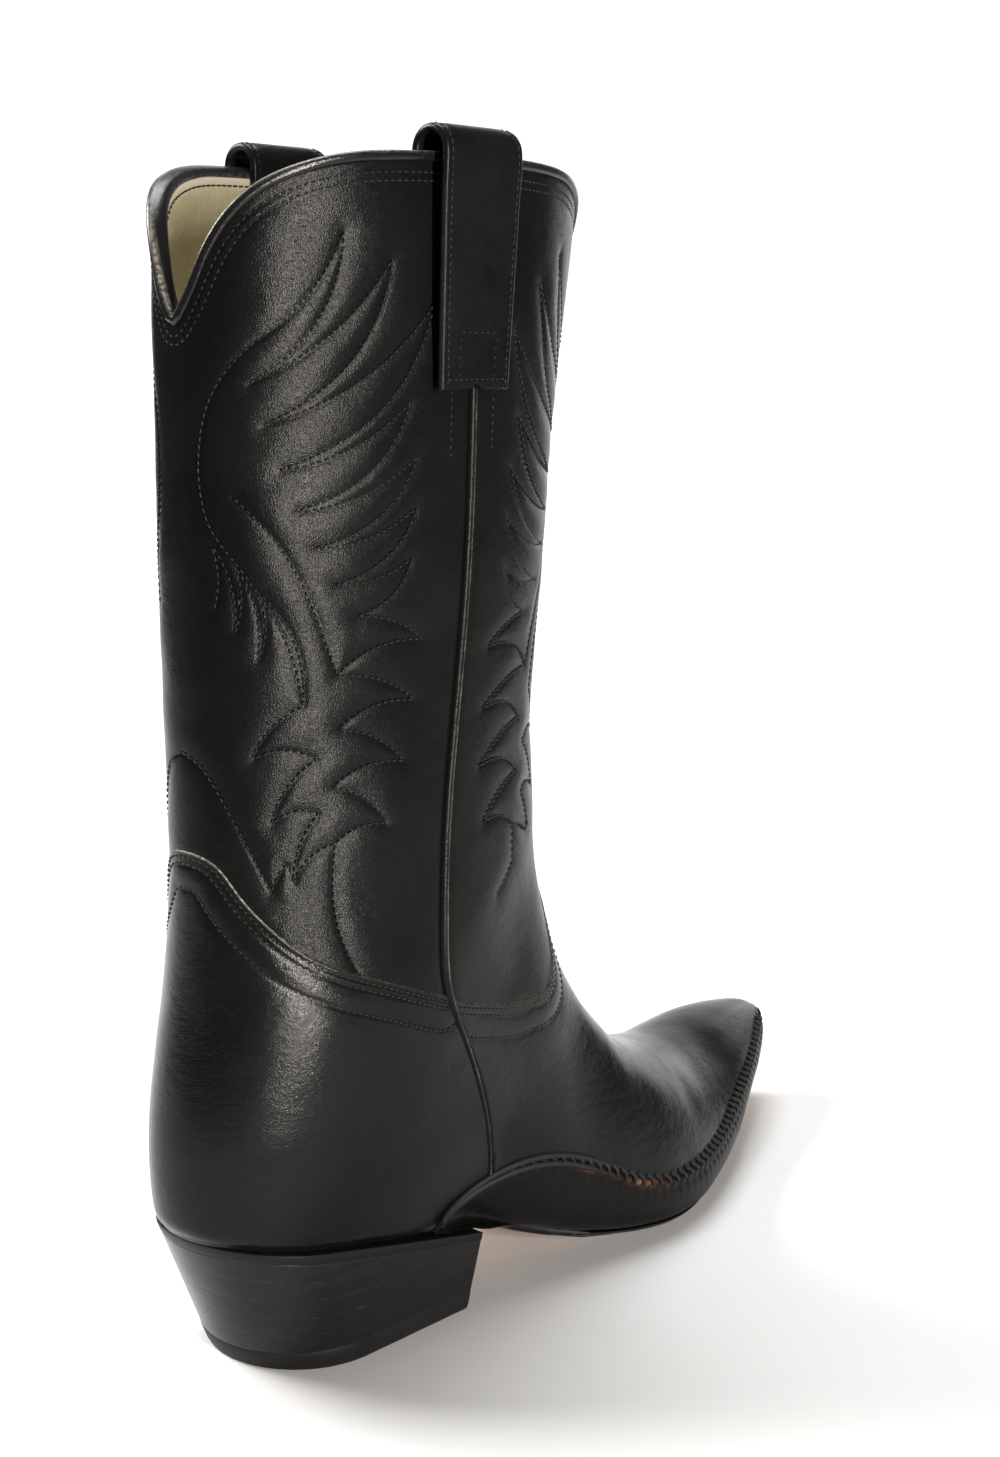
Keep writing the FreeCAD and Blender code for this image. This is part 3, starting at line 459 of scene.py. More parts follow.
def line_beside(grid, away, distance):
    """Station and angle of the line that keeps a distance from the upper end of the columns."""
    return [np.array([np.interp(distance, away[::-1, c], grid[key][::-1, c]) for c in range(away.shape[1])])
            for key in "uv"]


# ------------------------------------------------------------------ materials
def new_material(name):
    """An empty material and its node tree."""
    material = bpy.data.materials.new(name)
    material.use_nodes = True
    return material, material.node_tree


def connect(tree, value, socket):
    """A socket's value: another socket, a number or a colour."""
    if isinstance(value, bpy.types.NodeSocket):
        tree.links.new(value, socket)
    else:
        socket.default_value = (*value, 1) if isinstance(value, tuple) else value


def texture_of(tree, kind, stretch=(1, 1, 1), **values):
    """A texture node in object space, stretched along the axes."""
    coordinate = tree.nodes.new("ShaderNodeTexCoord")
    mapping = tree.nodes.new("ShaderNodeMapping")
    mapping.inputs["Scale"].default_value = stretch
    texture = tree.nodes.new(kind)
    for key, value in values.items():
        texture.inputs[key].default_value = value
    tree.links.new(coordinate.outputs["Object"], mapping.inputs["Vector"])
    tree.links.new(mapping.outputs["Vector"], texture.inputs["Vector"])
    return texture


def noise(tree, scale, detail, roughness=0.55, stretch=(1, 1, 1), distortion=0.0):
    """Noise in object space."""
    return texture_of(tree, "ShaderNodeTexNoise", stretch, Scale=scale, Detail=detail, Roughness=roughness,
                      Distortion=distortion).outputs["Fac"]


def cell_edges(tree, scale):
    """Distance to the walls of small cells, for pores."""
    texture = texture_of(tree, "ShaderNodeTexVoronoi", Scale=scale)
    texture.feature = "DISTANCE_TO_EDGE"
    return texture.outputs["Distance"]


def ramp(tree, fac, low, high, low_at=0.0, high_at=1.0):
    """Colour or grey that goes from low to high as fac goes from low_at to high_at."""
    node = tree.nodes.new("ShaderNodeValToRGB")
    for element, at, value in zip(node.color_ramp.elements, (low_at, high_at), (low, high)):
        element.position = at
        element.color = (*value, 1) if isinstance(value, tuple) else (value, value, value, 1)
    connect(tree, fac, node.inputs["Fac"])
    return node.outputs["Color"]


def blend(tree, fac, a, b):
    """Mix of two colours; each is a socket or a colour."""
    node = tree.nodes.new("ShaderNodeMix")
    node.data_type = "RGBA"
    for key, value in (("Factor", fac), ("A", a), ("B", b)):
        connect(tree, value, node.inputs[key])
    return node.outputs["Result"]


def product(tree, a, b):
    """One value times another."""
    node = tree.nodes.new("ShaderNodeMath")
    node.operation = "MULTIPLY"
    for value, socket in zip((a, b), node.inputs):
        connect(tree, value, socket)
    return node.outputs[0]


def attribute(tree, name):
    """A value stored on the mesh's points."""
    node = tree.nodes.new("ShaderNodeAttribute")
    node.attribute_name = name
    return node.outputs["Fac"]


def dress(tree, colour, rough, specular, bumps=()):
    """The look of a surface; bumps are (height socket, strength, distance in metres), one on another."""
    shader = tree.nodes["Principled BSDF"]
    connect(tree, colour, shader.inputs["Base Color"])
    connect(tree, rough, shader.inputs["Roughness"])
    shader.inputs["Specular IOR Level"].default_value = specular
    upper = shader.inputs["Normal"]
    for height, strength, distance in reversed(bumps):
        node = tree.nodes.new("ShaderNodeBump")
        node.inputs["Strength"].default_value = strength
        node.inputs["Distance"].default_value = distance
        connect(tree, height, node.inputs["Height"])
        connect(tree, node.outputs["Normal"], upper)
        upper = node.inputs["Normal"]


def calf(name, dark, light, gloss, wear_and_highlight_colour, grain, wrinkles, specular):
    """Smooth finished calf: fine pores, soft wrinkles, uneven polish, and pale worn edges; on the side piping
    the pale edge colour also paints a highlight.
    """
    material, tree = new_material(name)
    fine = noise(tree, 260, 4, 0.6)
    base = blend(tree, ramp(tree, noise(tree, 22, 5, 0.6), 0.0, 1.0, 0.3, 0.72), dark, light)
    base = blend(tree, ramp(tree, fine, 0.0, 0.5, 0.45, 0.8), base, light)
    # Pale colour where the wear attribute is set: real wear, and on the side piping also a painted highlight
    # of the cord.
    scuff = product(tree, attribute(tree, "wear"), ramp(tree, noise(tree, 900, 4, 0.7), 0.15, 1.0, 0.4, 0.6))
    shine = ramp(tree, noise(tree, 34, 6, 0.62), *gloss, 0.3, 0.75)
    rough = blend(tree, scuff, shine, (0.62, 0.62, 0.62))
    dress(tree, blend(tree, scuff, base, wear_and_highlight_colour), rough, specular, [
        (noise(tree, 24, 2, 0.5), wrinkles * 0.6, 0.003),
        (noise(tree, 210, 5, 0.6, (1, 1, 1.7), 0.5), wrinkles * 0.5, 0.0007),
        (cell_edges(tree, 1400), grain, 0.00022),
        (fine, grain * 0.6, 0.0003)])
    return material


def thread_material(name, colour):
    """Twisted thread, with painted shade between its turns."""
    material, tree = new_material(name)
    twist = noise(tree, 1800, 2, 0.5, (1, 1, 0.35))
    # The darker end of the twist ramp is painted shade between the turns; the same noise also bumps the
    # thread.
    dress(tree, ramp(tree, twist, tuple(0.45 * c for c in colour), colour, 0.35, 0.65),
          ramp(tree, noise(tree, 300, 3), 0.42, 0.7), 0.25, [(twist, 0.5, 0.0003)])
    return material


BLACK = (0.0024, 0.0027, 0.0026)
BLACK_LIGHT = (0.0052, 0.0054, 0.005)
# The pale colour of worn edges, which on the side piping also paints a highlight.
WORN_AND_HIGHLIGHT = (0.42, 0.4, 0.34)

calf_black = calf("calf_black", BLACK, BLACK_LIGHT, (0.24, 0.33), WORN_AND_HIGHLIGHT, 0.4, 0.3, 0.09)
foot_black = calf("foot_black", BLACK, BLACK_LIGHT, (0.18, 0.28), WORN_AND_HIGHLIGHT, 0.3, 0.4, 0.145)
wrap_black = calf("wrap_black", (0.0024, 0.0024, 0.0024), (0.0045, 0.0043, 0.004), (0.32, 0.44),
                  (0.42, 0.16, 0.045), 0.3, 0.3, 0.1)
binding_black = calf("binding_black", (0.004, 0.004, 0.004), (0.009, 0.009, 0.009), (0.16, 0.28), WORN_AND_HIGHLIGHT,
                     0.3, 0.2, 0.3)
strap_black = calf("strap_black", BLACK, (0.009, 0.0088, 0.0085), (0.2, 0.3), (0.011, 0.0105, 0.01),
                   0.25, 0.2, 0.1)
thread_black = thread_material("thread_black", (0.014, 0.014, 0.0135))
lace_black = thread_material("lace_black", (0.012, 0.0115, 0.011))


def lining_material():
    """Unfinished pale leather, a little soiled, and paler where it is worn at the rim."""
    material, tree = new_material("lining_tan")
    cloud = noise(tree, 30, 5, 0.65)
    fine = noise(tree, 500, 4, 0.7)
    base = blend(tree, ramp(tree, cloud, 0.0, 1.0, 0.3, 0.7), (0.47, 0.42, 0.27), (0.60, 0.55, 0.39))
    base = blend(tree, ramp(tree, fine, 0.0, 0.35, 0.4, 0.75), base, (0.22, 0.185, 0.10))
    base = blend(tree, product(tree, attribute(tree, "wear"), 0.8), base, (0.72, 0.66, 0.55))
    dress(tree, base, ramp(tree, fine, 0.6, 0.85), 0.25, [(cloud, 0.3, 0.002), (fine, 0.35, 0.0004)])
    return material


def sole_material():
    """Oak bark sole leather with a black polished edge where the edge attribute is set."""
    material, tree = new_material("sole_leather")
    cloud = noise(tree, 26, 6, 0.6)
    fibre = noise(tree, 420, 5, 0.7, (0.4, 1, 1))
    scratch = noise(tree, 70, 8, 0.75, (0.25, 1.6, 1), 0.6)
    base = blend(tree, ramp(tree, cloud, 0.0, 1.0, 0.3, 0.7), (0.42, 0.25, 0.16), (0.56, 0.38, 0.27))
    base = blend(tree, ramp(tree, fibre, 0.0, 0.5, 0.45, 0.75), base, (0.34, 0.19, 0.11))
    base = blend(tree, ramp(tree, scratch, 0.0, 0.45, 0.56, 0.68), base, (0.18, 0.11, 0.075))
    base = blend(tree, attribute(tree, "edge"), base, (0.004, 0.004, 0.004))
    dress(tree, base, ramp(tree, fibre, 0.3, 0.55), 0.18, [(scratch, 0.25, 0.0012), (fibre, 0.25, 0.0004)])
    return material


def heel_material():
    """Stacked leather, dyed black and burnished: faint level streaks of the lifts."""
    material, tree = new_material("heel_black")
    streak = noise(tree, 60, 7, 0.7, (0.18, 0.18, 9.0))
    base = ramp(tree, streak, 0.0, 1.0, 0.35, 0.7)
    base = blend(tree, base, (0.003, 0.003, 0.0032), (0.006, 0.0058, 0.0055))
    scuff = product(tree, attribute(tree, "wear"), ramp(tree, noise(tree, 380, 5, 0.7), 0.0, 0.9, 0.5, 0.68))
    dress(tree, blend(tree, scuff, base, (0.2, 0.18, 0.15)), ramp(tree, streak, 0.22, 0.32, 0.3, 0.75), 0.26,
          [(streak, 0.03, 0.0004), (noise(tree, 700, 4), 0.1, 0.0002)])
    return material


def rubber_material():
    """Black rubber with a dusty bloom."""
    material, tree = new_material("cap_rubber")
    cloud = noise(tree, 80, 6, 0.65)
    dress(tree, ramp(tree, cloud, (0.004, 0.004, 0.0042), (0.009, 0.0088, 0.0085), 0.3, 0.75),
          ramp(tree, cloud, 0.38, 0.62), 0.2, [(cloud, 0.2, 0.0008), (noise(tree, 900, 4, 0.6), 0.3, 0.0002)])
    return material


def plain_stuff(name, low, high, rough, scale, metal):
    """Cork, board or metal: one colour that varies, with its own grain."""
    material, tree = new_material(name)
    grain = noise(tree, scale, 6, 0.65)
    colour = ramp(tree, grain, low, high, 0.3, 0.7)
    dress(tree, colour, ramp(tree, grain, *rough), 0.5, [(grain, 0.3, 0.0004)])
    tree.nodes["Principled BSDF"].inputs["Metallic"].default_value = metal
    return material


lining_tan = lining_material()
sole_leather = sole_material()
heel_black = heel_material()
cap_rubber = rubber_material()
# Nodes, material, darker and paler colour, roughness, scale of the grain, metal.
for nodes, *look in (
        (["insole"], "board", (0.33, 0.26, 0.18), (0.46, 0.37, 0.26), (0.6, 0.8), 300, 0),
        (["bottom_filler"], "cork", (0.20, 0.11, 0.05), (0.42, 0.27, 0.14), (0.7, 0.9), 420, 0),
        (["toe_box_stiffener", "heel_counter_stiffener"], "stiffener_board",
         (0.30, 0.25, 0.18), (0.42, 0.36, 0.27), (0.6, 0.8), 500, 0),
        (["shank"], "spring_steel", (0.33, 0.34, 0.36), (0.46, 0.47, 0.49), (0.28, 0.42), 240, 1),
        (["heel_nails", "shank_tacks"],
         "nail_steel", (0.36, 0.36, 0.37), (0.5, 0.5, 0.51), (0.3, 0.45), 500, 1),
        (["top_lift_nails"], "nail_brass", (0.5, 0.34, 0.12), (0.66, 0.48, 0.2), (0.28, 0.42), 500, 1)):
    stuff = plain_stuff(*look)
    for node in nodes:
        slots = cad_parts[node].data.materials
        slots.clear()
        slots.append(stuff)


# ------------------------------------------------------------------ shaft panels
SHELL_BACK = -2.0
COARSE, ROW_PITCH = 4, 0.85
# How far the panels go under the overlays, past the seam, and stay below the rim.
TUCK, SEAM_TUCK, RIM_GAP = 2.0, 1.1, 2.1
TONGUE_BACK, TONGUE_FILLET = 31, 8
# The seat's rim that stays free, and the height and reach of the leather's spread above it.
SEAT_SHOW, FLARE_HEIGHT, FLARE_REACH = 1.2, 16, 4
# Where the spread ends and over what length it fades, at the waist and at the back.
FLARE_FRONT, FLARE_BACK = (74, 34), (-56, 6)
TIP_SHARES = (0.01, 0.3, 0.6, 0.84)
TIP_MOVE = np.array([0.7, 0, 0.05])


def beside_seam(offset):
    """Angle, as a function of u, of the line that stands off in front of the side seam."""
    return angle_where(lambda x, z: x - seam_x(z) - offset)


def from_back(angle):
    """Angle at a station and a share from -1 to 1, measured from the back or the sole."""
    return lambda u, s: s * angle(u)


def from_front(angle):
    """The same, measured from the front or the top."""
    return lambda u, s: math.pi + s * (math.pi - angle(u))


back_side, front_side = from_back(beside_seam(-SEAM_TUCK)), from_front(beside_seam(SEAM_TUCK))


def grid_count(length):
    """Number of grid lines for a length, so that every COARSE-th line reaches the ends."""
    return int(round(length / ROW_PITCH / COARSE)) * COARSE + 1


def under_rim(y, z, drop):
    """How far a point lies below a line drop below the rim."""
    return rim_z(np.abs(y)) - drop - z


def smooth_max(a, b, reach):
    """The larger of two values, rounded where they are closer than reach."""
    return 0.5 * (a + b + np.sqrt((a - b) ** 2 + reach ** 2))


def vamp_measure(x, y, z):
    """Positive inside the vamp and its tongue, negative above them."""
    tongue = np.minimum(tongue_half(z) - np.abs(y), TONGUE[-1][1] - z)
    tongue = np.where(x > TONGUE_BACK, tongue, -99)
    return smooth_max(vamp_z(x) - z, tongue, TONGUE_FILLET * np.clip((x - 45) / 15, 0, 1))


def surface_grid(width, columns, rows, angle_of, span, inside):
    """A panel's grid as a dict: stations, angles, points, and distances from its edges."""
    shares = even_places(width, columns, EDGE_PLACES) / width * 2 - 1
    u, v, low, high = lay_grid(shares, angle_of, inside, span, rows)
    points = skin(u, v)
    first, second = side_runs(points)
    return {"u": u, "v": v, "high": high, "side": np.minimum(first, second), "points": points,
            "edge": np.minimum.reduce([low, high, first, second])}


def on_tread(points, rise):
    """Points pressed flat where they would fall below the heel seat or the line of the outsole."""
    x, y, z = np.moveaxis(points, -1, 0)
    return np.stack([x, y, smooth_max(z, bed_z(x) + rise, 3.0)], -1)


def seat_flare(points):
    """Points spread sideways near the heel seat, so that the leather stands on the seat's rim."""
    x, y, z = np.moveaxis(points, -1, 0)
    border = np.interp(x, SEAT_LINE[0], SEAT_LINE[1])
    target = np.maximum(np.interp(x, SEAT_RIM[0], SEAT_RIM[1]) - SEAT_SHOW, border)
    away = np.abs(y)
    push = (target - border) * np.clip(1 - (z - bed_z(x)) / FLARE_HEIGHT, 0, 1) ** 2
    push = push * np.minimum(away / border, 1) * np.exp(-np.clip(away - border, 0, None) / FLARE_REACH)
    share = smooth_step(np.clip((FLARE_FRONT[0] - x) / FLARE_FRONT[1], 0, 1))
    share = share * np.clip((x - FLARE_BACK[0]) / FLARE_BACK[1], 0, 1)
    return np.stack([x, np.sign(y) * (away + push * share), z], -1)


def close_tip(points, shares):
    """The first rows drawn in to the middle of the ring that follows them."""
    ring = points[len(shares)]
    centre = ring.mean(0)
    rows = [centre + (ring - centre) * f + TIP_MOVE * (1 - f * f) for f in shares]
    return np.concatenate([np.array(rows), points[len(shares):]])


def leather(name, g, lift, nodes, material, wear=None, back=SHELL_BACK, slot="black_calf", beds=None,
            flared=False, tip=False):
    """Closed sheet of leather over a grid, with the given lift and a coarser back face.
    With beds, the two faces are pressed flat at those heights above the bed."""
    outer = skin(g["u"], g["v"], lift)
    inner = skin(g["u"][::COARSE, ::COARSE], g["v"][::COARSE, ::COARSE], back)
    if beds:
        outer, inner = on_tread(outer, beds[0]), on_tread(inner, beds[1])
    if flared:
        outer, inner = seat_flare(outer), seat_flare(inner)
    if tip:
        outer, inner = close_tip(outer, TIP_SHARES), close_tip(inner, TIP_SHARES[:1])
    verts, faces = shell(outer, inner, COARSE)
    worn = np.zeros(len(verts))
    if wear is not None:
        worn[:wear.size] = wear.ravel()
    add_piece(name, verts, faces, slot, nodes, material, {"wear": worn})


def seat_lines():
    """Half width of the leather, and of the heel's outline, along the heel seat."""
    angle = angle_where(lambda x, z: z - bed_z(x))
    us = np.linspace(6, 12.4, 500)
    line = skin(us, angle(us))
    rank = np.argsort(line[:, 0])
    rim_x = np.linspace(-54, 80, 269)
    share = bed_z(np.minimum(rim_x, SEAT_BREAST)) / HEEL_TOP
    radius, back, breast, half = (low + (high - low) * share for low, high in zip(HEEL_FOOT, HEEL_HEAD))
    centre = radius - back
    straight = radius + (half - radius) * (rim_x - centre) / (breast - centre)
    round_back = np.sqrt(np.clip(radius ** 2 - (rim_x - centre) ** 2, 0, None))
    return ((line[rank, 0], np.maximum(-line[rank, 1], 1.0)),
            (rim_x, np.where(rim_x < centre, round_back, straight)))


SEAT_LINE, SEAT_RIM = seat_lines()
BACK_WIDTH, FRONT_WIDTH = 176, 186

back_grid = surface_grid(
    BACK_WIDTH, grid_count(BACK_WIDTH), grid_count(225), back_side, (10, LAST_U),
    lambda x, y, z: np.minimum(z - counter_z(x) + TUCK, under_rim(y, z, RIM_GAP)))
front_grid = surface_grid(
    FRONT_WIDTH, grid_count(FRONT_WIDTH), grid_count(235), front_side, (7, LAST_U),
    lambda x, y, z: np.minimum(-vamp_measure(x, y, z + TUCK), under_rim(y, z, RIM_GAP)))


# ------------------------------------------------------------------ stitched pattern of the shaft
def quad_curve(a, b, bulge):
    """Curve from a to b whose middle stands off to its left by bulge times its length."""
    a, b = np.array(a, float), np.array(b, float)
    along = b - a
    middle = (a + b) / 2 + np.array([-along[1], along[0]]) * bulge * 2
    t = np.linspace(0, 1, CURVE_STEPS)[:, None]
    return (1 - t) ** 2 * a + 2 * t * (1 - t) * middle + t * t * b


def comb(valleys, tips, rise, fall):
    """One running line of blades: valley to tip and back to the next valley."""
    parts = []
    for k, tip in enumerate(tips):
        parts.append(quad_curve(valleys[k], tip, rise))
        parts.append(quad_curve(tip, valleys[k + 1], fall))
    return np.concatenate(parts)


# Places are (distance round the panel from its middle line, height), for half a panel.
BACK_PATTERN = [
    smooth_line([(12, 262), (14, 274), (21, 286), (31, 295)]),
    comb([(31, 295), (29, 284), (33, 273), (37, 261), (41, 250), (46, 240), (52, 230), (58, 221)],
         [(54, 324), (66, 317), (77, 305), (71, 279), (73, 264), (73, 250), (72, 236)], -0.1, 0.15),
    smooth_line([(12, 262), (15, 248), (24, 237), (34, 224), (41, 210), (44, 197)]),
    smooth_line([(24, 254), (33, 246), (42, 233), (48, 219), (53, 205)]),
    comb([(44, 197), (31, 210), (24, 218), (17, 224), (9, 226)],
         [(31, 229), (24, 236), (16, 242)], -0.12, 0.12),
    comb([(58, 221), (53, 205), (54, 190), (53, 174), (54, 158)],
         [(76, 213), (75, 196), (73, 179), (69, 162)], 0.1, -0.13),
    comb([(44, 197), (48, 182), (49, 167), (54, 158)], [(29, 183), (35, 165), (42, 148)], -0.1, 0.14),
    smooth_line([(54, 158), (54, 144), (57, 132), (63, 120)]),
    smooth_line([(0, 184), (9, 181), (18, 172), (27, 159), (35, 146)]),
    smooth_line([(35, 146), (40, 153), (42, 148)]),
]
FRONT_PATTERN = [
    smooth_line([(12, 256), (14, 269), (20, 282), (30, 292)]),
    comb([(30, 292), (28, 280), (33, 268), (38, 256), (42, 245), (47, 235), (53, 225), (60, 216)],
         [(53, 321), (66, 312), (78, 299), (73, 274), (76, 259), (77, 245), (76, 230)], -0.1, 0.15),
    smooth_line([(12, 256), (16, 243), (25, 232), (35, 219), (42, 205), (46, 191)]),
    smooth_line([(25, 248), (34, 240), (43, 227), (50, 213), (55, 199)]),
    comb([(46, 191), (32, 204), (25, 212), (18, 218), (10, 220)],
         [(32, 223), (25, 230), (17, 236)], -0.12, 0.12),
    comb([(60, 216), (55, 199), (57, 184), (57, 168), (60, 152)],
         [(81, 208), (81, 190), (80, 173), (77, 156)], 0.1, -0.13),
    comb([(46, 191), (51, 176), (53, 161), (60, 152)], [(32, 177), (38, 160), (46, 143)], -0.1, 0.14),
    smooth_line([(60, 152), (61, 139), (65, 128), (71, 117)]),
]


def panel_lines(pattern, angle_at, half_width):
    """The pattern on both halves of a panel, as lines of points and normals on its surface."""
    us = np.linspace(12, LAST_U, 240)
    shares = np.linspace(0, 1, 61)
    levels = np.arange(95, 346, 1.0)
    table = np.stack([np.interp(levels, row, us) for row in skin(us, angle_at(us, shares[:, None]))[..., 2]])
    lines = []
    for path in pattern:
        path = even_line(path, PATTERN_STEP)
        share = np.clip(path[:, 0] / half_width, 0, 0.97)
        column = share * (len(shares) - 1)
        k = np.minimum(column.astype(int), len(shares) - 2)
        u = np.array([(1 - f) * np.interp(z, levels, table[i]) + f * np.interp(z, levels, table[i + 1])
                      for f, i, z in zip(column - k, k, path[:, 1])])
        lines += [on_surface(u, angle_at(u, share * side)) for side in (-1, 1)]
    return lines


back_lines = panel_lines(BACK_PATTERN, back_side, BACK_WIDTH / 2)
front_lines = panel_lines(FRONT_PATTERN, front_side, FRONT_WIDTH / 2 - 1)


def edge_rows(grid, distances):
    """Stitch lines that follow the upper edge of a panel at each distance."""
    away = nearest_distance(grid["points"], [(grid["points"][-1], None)])
    away = np.maximum.accumulate(away[::-1], axis=0)[::-1]
    return [on_surface(*line_beside(grid, away, distance)) for distance in distances]


GROOVE, GROOVE_WIDTH = 0.34, 0.6
HOLLOW, HOLLOW_WIDTH = 0.32, 3.2


def quilt(grid, lines):
    """Lift of soft leather held down along stitch lines."""
    d = nearest_distance(grid["points"], lines)
    return -GROOVE * np.exp(-(d / GROOVE_WIDTH) ** 2) - HOLLOW * np.exp(-(d / HOLLOW_WIDTH) ** 2)


def lift_threads(lines, lift):
    """Lines moved out along their normals."""
    return [(points + normals * lift, normals) for points, normals in lines]


def soft_forms(points, height, scale=0.03, seed=3):
    """Unevenness of soft leather, in large and smaller forms."""
    return height * (value_noise(points, scale, seed) + 0.35 * value_noise(points, scale * 3.1, seed + 1))


def shaft_leather(name, grid, lines, rim_lines, node):
    """A shaft panel, quilted along its pattern and its rim rows."""
    lift = 0.25 + quilt(grid, lines) + 0.45 * quilt(grid, rim_lines) + soft_forms(grid["points"], 0.45)
    lift = lift * np.clip(grid["edge"] / 3, 0, 1) + edge_drop(grid["edge"], 0.8, 0.8)
    leather(name, grid, lift, [node], calf_black)


RIM_ROWS = (3.4, 5.6)
OVERLAY_ROWS = (1.7, 3.7, 10.5)
back_rim_rows, front_rim_rows = edge_rows(back_grid, RIM_ROWS), edge_rows(front_grid, RIM_ROWS)
shaft_leather("back_shaft_leather", back_grid, back_lines, back_rim_rows, "back_shaft_panel")
shaft_leather("front_shaft_leather", front_grid, front_lines, front_rim_rows, "front_shaft_panel")


# ------------------------------------------------------------------ counter, vamp and wrap sole
OVERLAY = 0.8
LACE_PITCH, LACE_RADIUS, LACE_LENGTH = 4.2, 0.78, 5.0
lace_angle = angle_where(lambda x, z: z - lacing_z(x))
vamp_angle = angle_where(lambda x, z: np.minimum(z - lacing_z(x), x - seam_x(z) - 0.9))
counter_grid = surface_grid(
    172, grid_count(172), grid_count(190), back_side, (8.8, 16),
    lambda x, y, z: np.minimum(counter_z(x) - z, z - lacing_z(x) + 1.0))
tip_u = U_FINE[np.nonzero(vamp_angle(U_FINE) < math.pi - 0.05)[0][0]] + 0.03
vamp_grid = surface_grid(160, grid_count(150), grid_count(250), from_front(vamp_angle), (tip_u, 12),
                         vamp_measure)


def dent(points, centre, along, width, length, depth):
    """Soft crease: a valley through centre that runs along a direction."""
    away, along = points - centre, unit(np.array(along, float))
    run = away @ along
    across = np.linalg.norm(away - run[..., None] * along, axis=-1)
    return -depth * np.exp(-(across / width) ** 2) * np.exp(-(run / length) ** 2)


def overlay_lift(grid, rows, soft):
    """Lift of a leather laid over the shaft, held down along its rows."""
    return OVERLAY + quilt(grid, rows) * 0.7 + soft_forms(grid["points"], *soft)


def worn_top(grid):
    """Wear of the thin upper edge of a leather."""
    return np.clip(1 - grid["high"] / 0.7, 0, 1)


def folds(points):
    """Waves along the lacing, one for each stitch."""
    return np.sin(chain_length(points[:, 0])[:, None] * 2 * math.pi / LACE_PITCH)


counter_rows = edge_rows(counter_grid, OVERLAY_ROWS)
x, _, z = np.moveaxis(counter_grid["points"], -1, 0)
lift = overlay_lift(counter_grid, counter_rows, (0.35, 0.035, 11)) + edge_drop(counter_grid["high"], 0.7, 0.8)
lift -= 1.3 * np.clip(1 - (z - bed_z(x)) / 6, 0, 1) ** 2
wear = worn_top(counter_grid) * (z > 85) * np.clip((-20 - x) / 20, 0.18, 1)
leather("counter_leather", counter_grid, lift, ["counter_cover"], foot_black, wear, beds=(-0.4, 1.6),
        flared=True)

# Centre, direction, width, length and depth of the creases over the toes and at the ankle.
CREASES = [((168, -22, 44), (0.45, 1, 0.1), 7, 34, 1.2), ((150, -30, 40), (0.3, 1, 0.3), 6, 30, 0.9),
           ((186, -10, 44), (0.5, 1, 0), 6, 26, 0.8), ((118, -30, 62), (0.2, 1, 0.5), 8, 26, 0.8),
           ((104, 8, 84), (0, 1, 0), 7, 30, 0.9), ((96, 0, 104), (0, 1, 0), 6, 26, 0.7)]
vamp_rows = edge_rows(vamp_grid, OVERLAY_ROWS)
points, side = vamp_grid["points"], vamp_grid["side"]
lift = overlay_lift(vamp_grid, vamp_rows, (0.4, 0.03, 21)) + edge_drop(vamp_grid["edge"], 0.8, 0.9)
lift += sum(dent(points, *crease) for crease in CREASES)
near_lace = np.where(points[..., 2] < 50, np.exp(-(side / 2.5) ** 2), 0)
lift += (0.35 + 0.3 * folds(points)) * near_lace * np.clip(side / 1.2, 0, 1)
leather("vamp_leather", vamp_grid, lift, ["vamp"], foot_black, worn_top(vamp_grid) * 0.2)

wrap_grid = surface_grid(200, grid_count(170), grid_count(236), from_back(lace_angle), (0.02, 9.78),
                         lambda x, y, z: x - WRAP_BACK - 0.3)
points, side = wrap_grid["points"], wrap_grid["side"]
x = points[..., 0]
lift = OVERLAY - 0.1 + soft_forms(points, 0.3, 0.04, 31)
lift += folds(points) * np.exp(-(side / 5) ** 2) * (0.15 + 0.35 * np.clip((x - 90) / 60, 0, 1))
lift -= 0.5 * np.exp(-(side - 4.6) ** 2)
lift += edge_drop(np.minimum(side, wrap_grid["high"]), 0.9, 1.0)
wear = (np.exp(-((side - 1.8) / 1.1) ** 2) * np.clip(0.5 + value_noise(points, 0.45, 6), 0, 1)
        * (np.exp(-((x - 108) / 7) ** 2) + 0.5 * np.exp(-((x - 84) / 7) ** 2)))
leather("wrap_leather", wrap_grid, lift, ["wrap_sole"], wrap_black, wear, slot="sole_black", beds=(-0.7, 2.3),
        flared=True, tip=True)


# ------------------------------------------------------------------ tubes: side piping and rim binding
# Each point of a profile is (forward or down, outward), and its pale wear is on the line below; on the piping
# that pale colour also paints a highlight along the forward side of the crest.
PIPING_PROFILE = [(-1.45, -1.2), (-1.5, -0.1), (-1.35, 0.55), (-0.95, 1.1), (-0.4, 1.4), (0.2, 1.45),
                  (0.8, 1.15), (1.25, 0.6), (1.4, 0.1), (1.35, -1.2)]
# Pale colour on the forward side of the piping's crest: partly wear, partly a painted highlight of the cord.
PIPING_WEAR_AND_HIGHLIGHT = [0, 0, 0, 0, 0, 0.1, 0.75, 0.5, 0, 0]
PIPING_STEP, PIPING_FRONT, PIPING_SLIM = 0.9, 45.2, 0.62


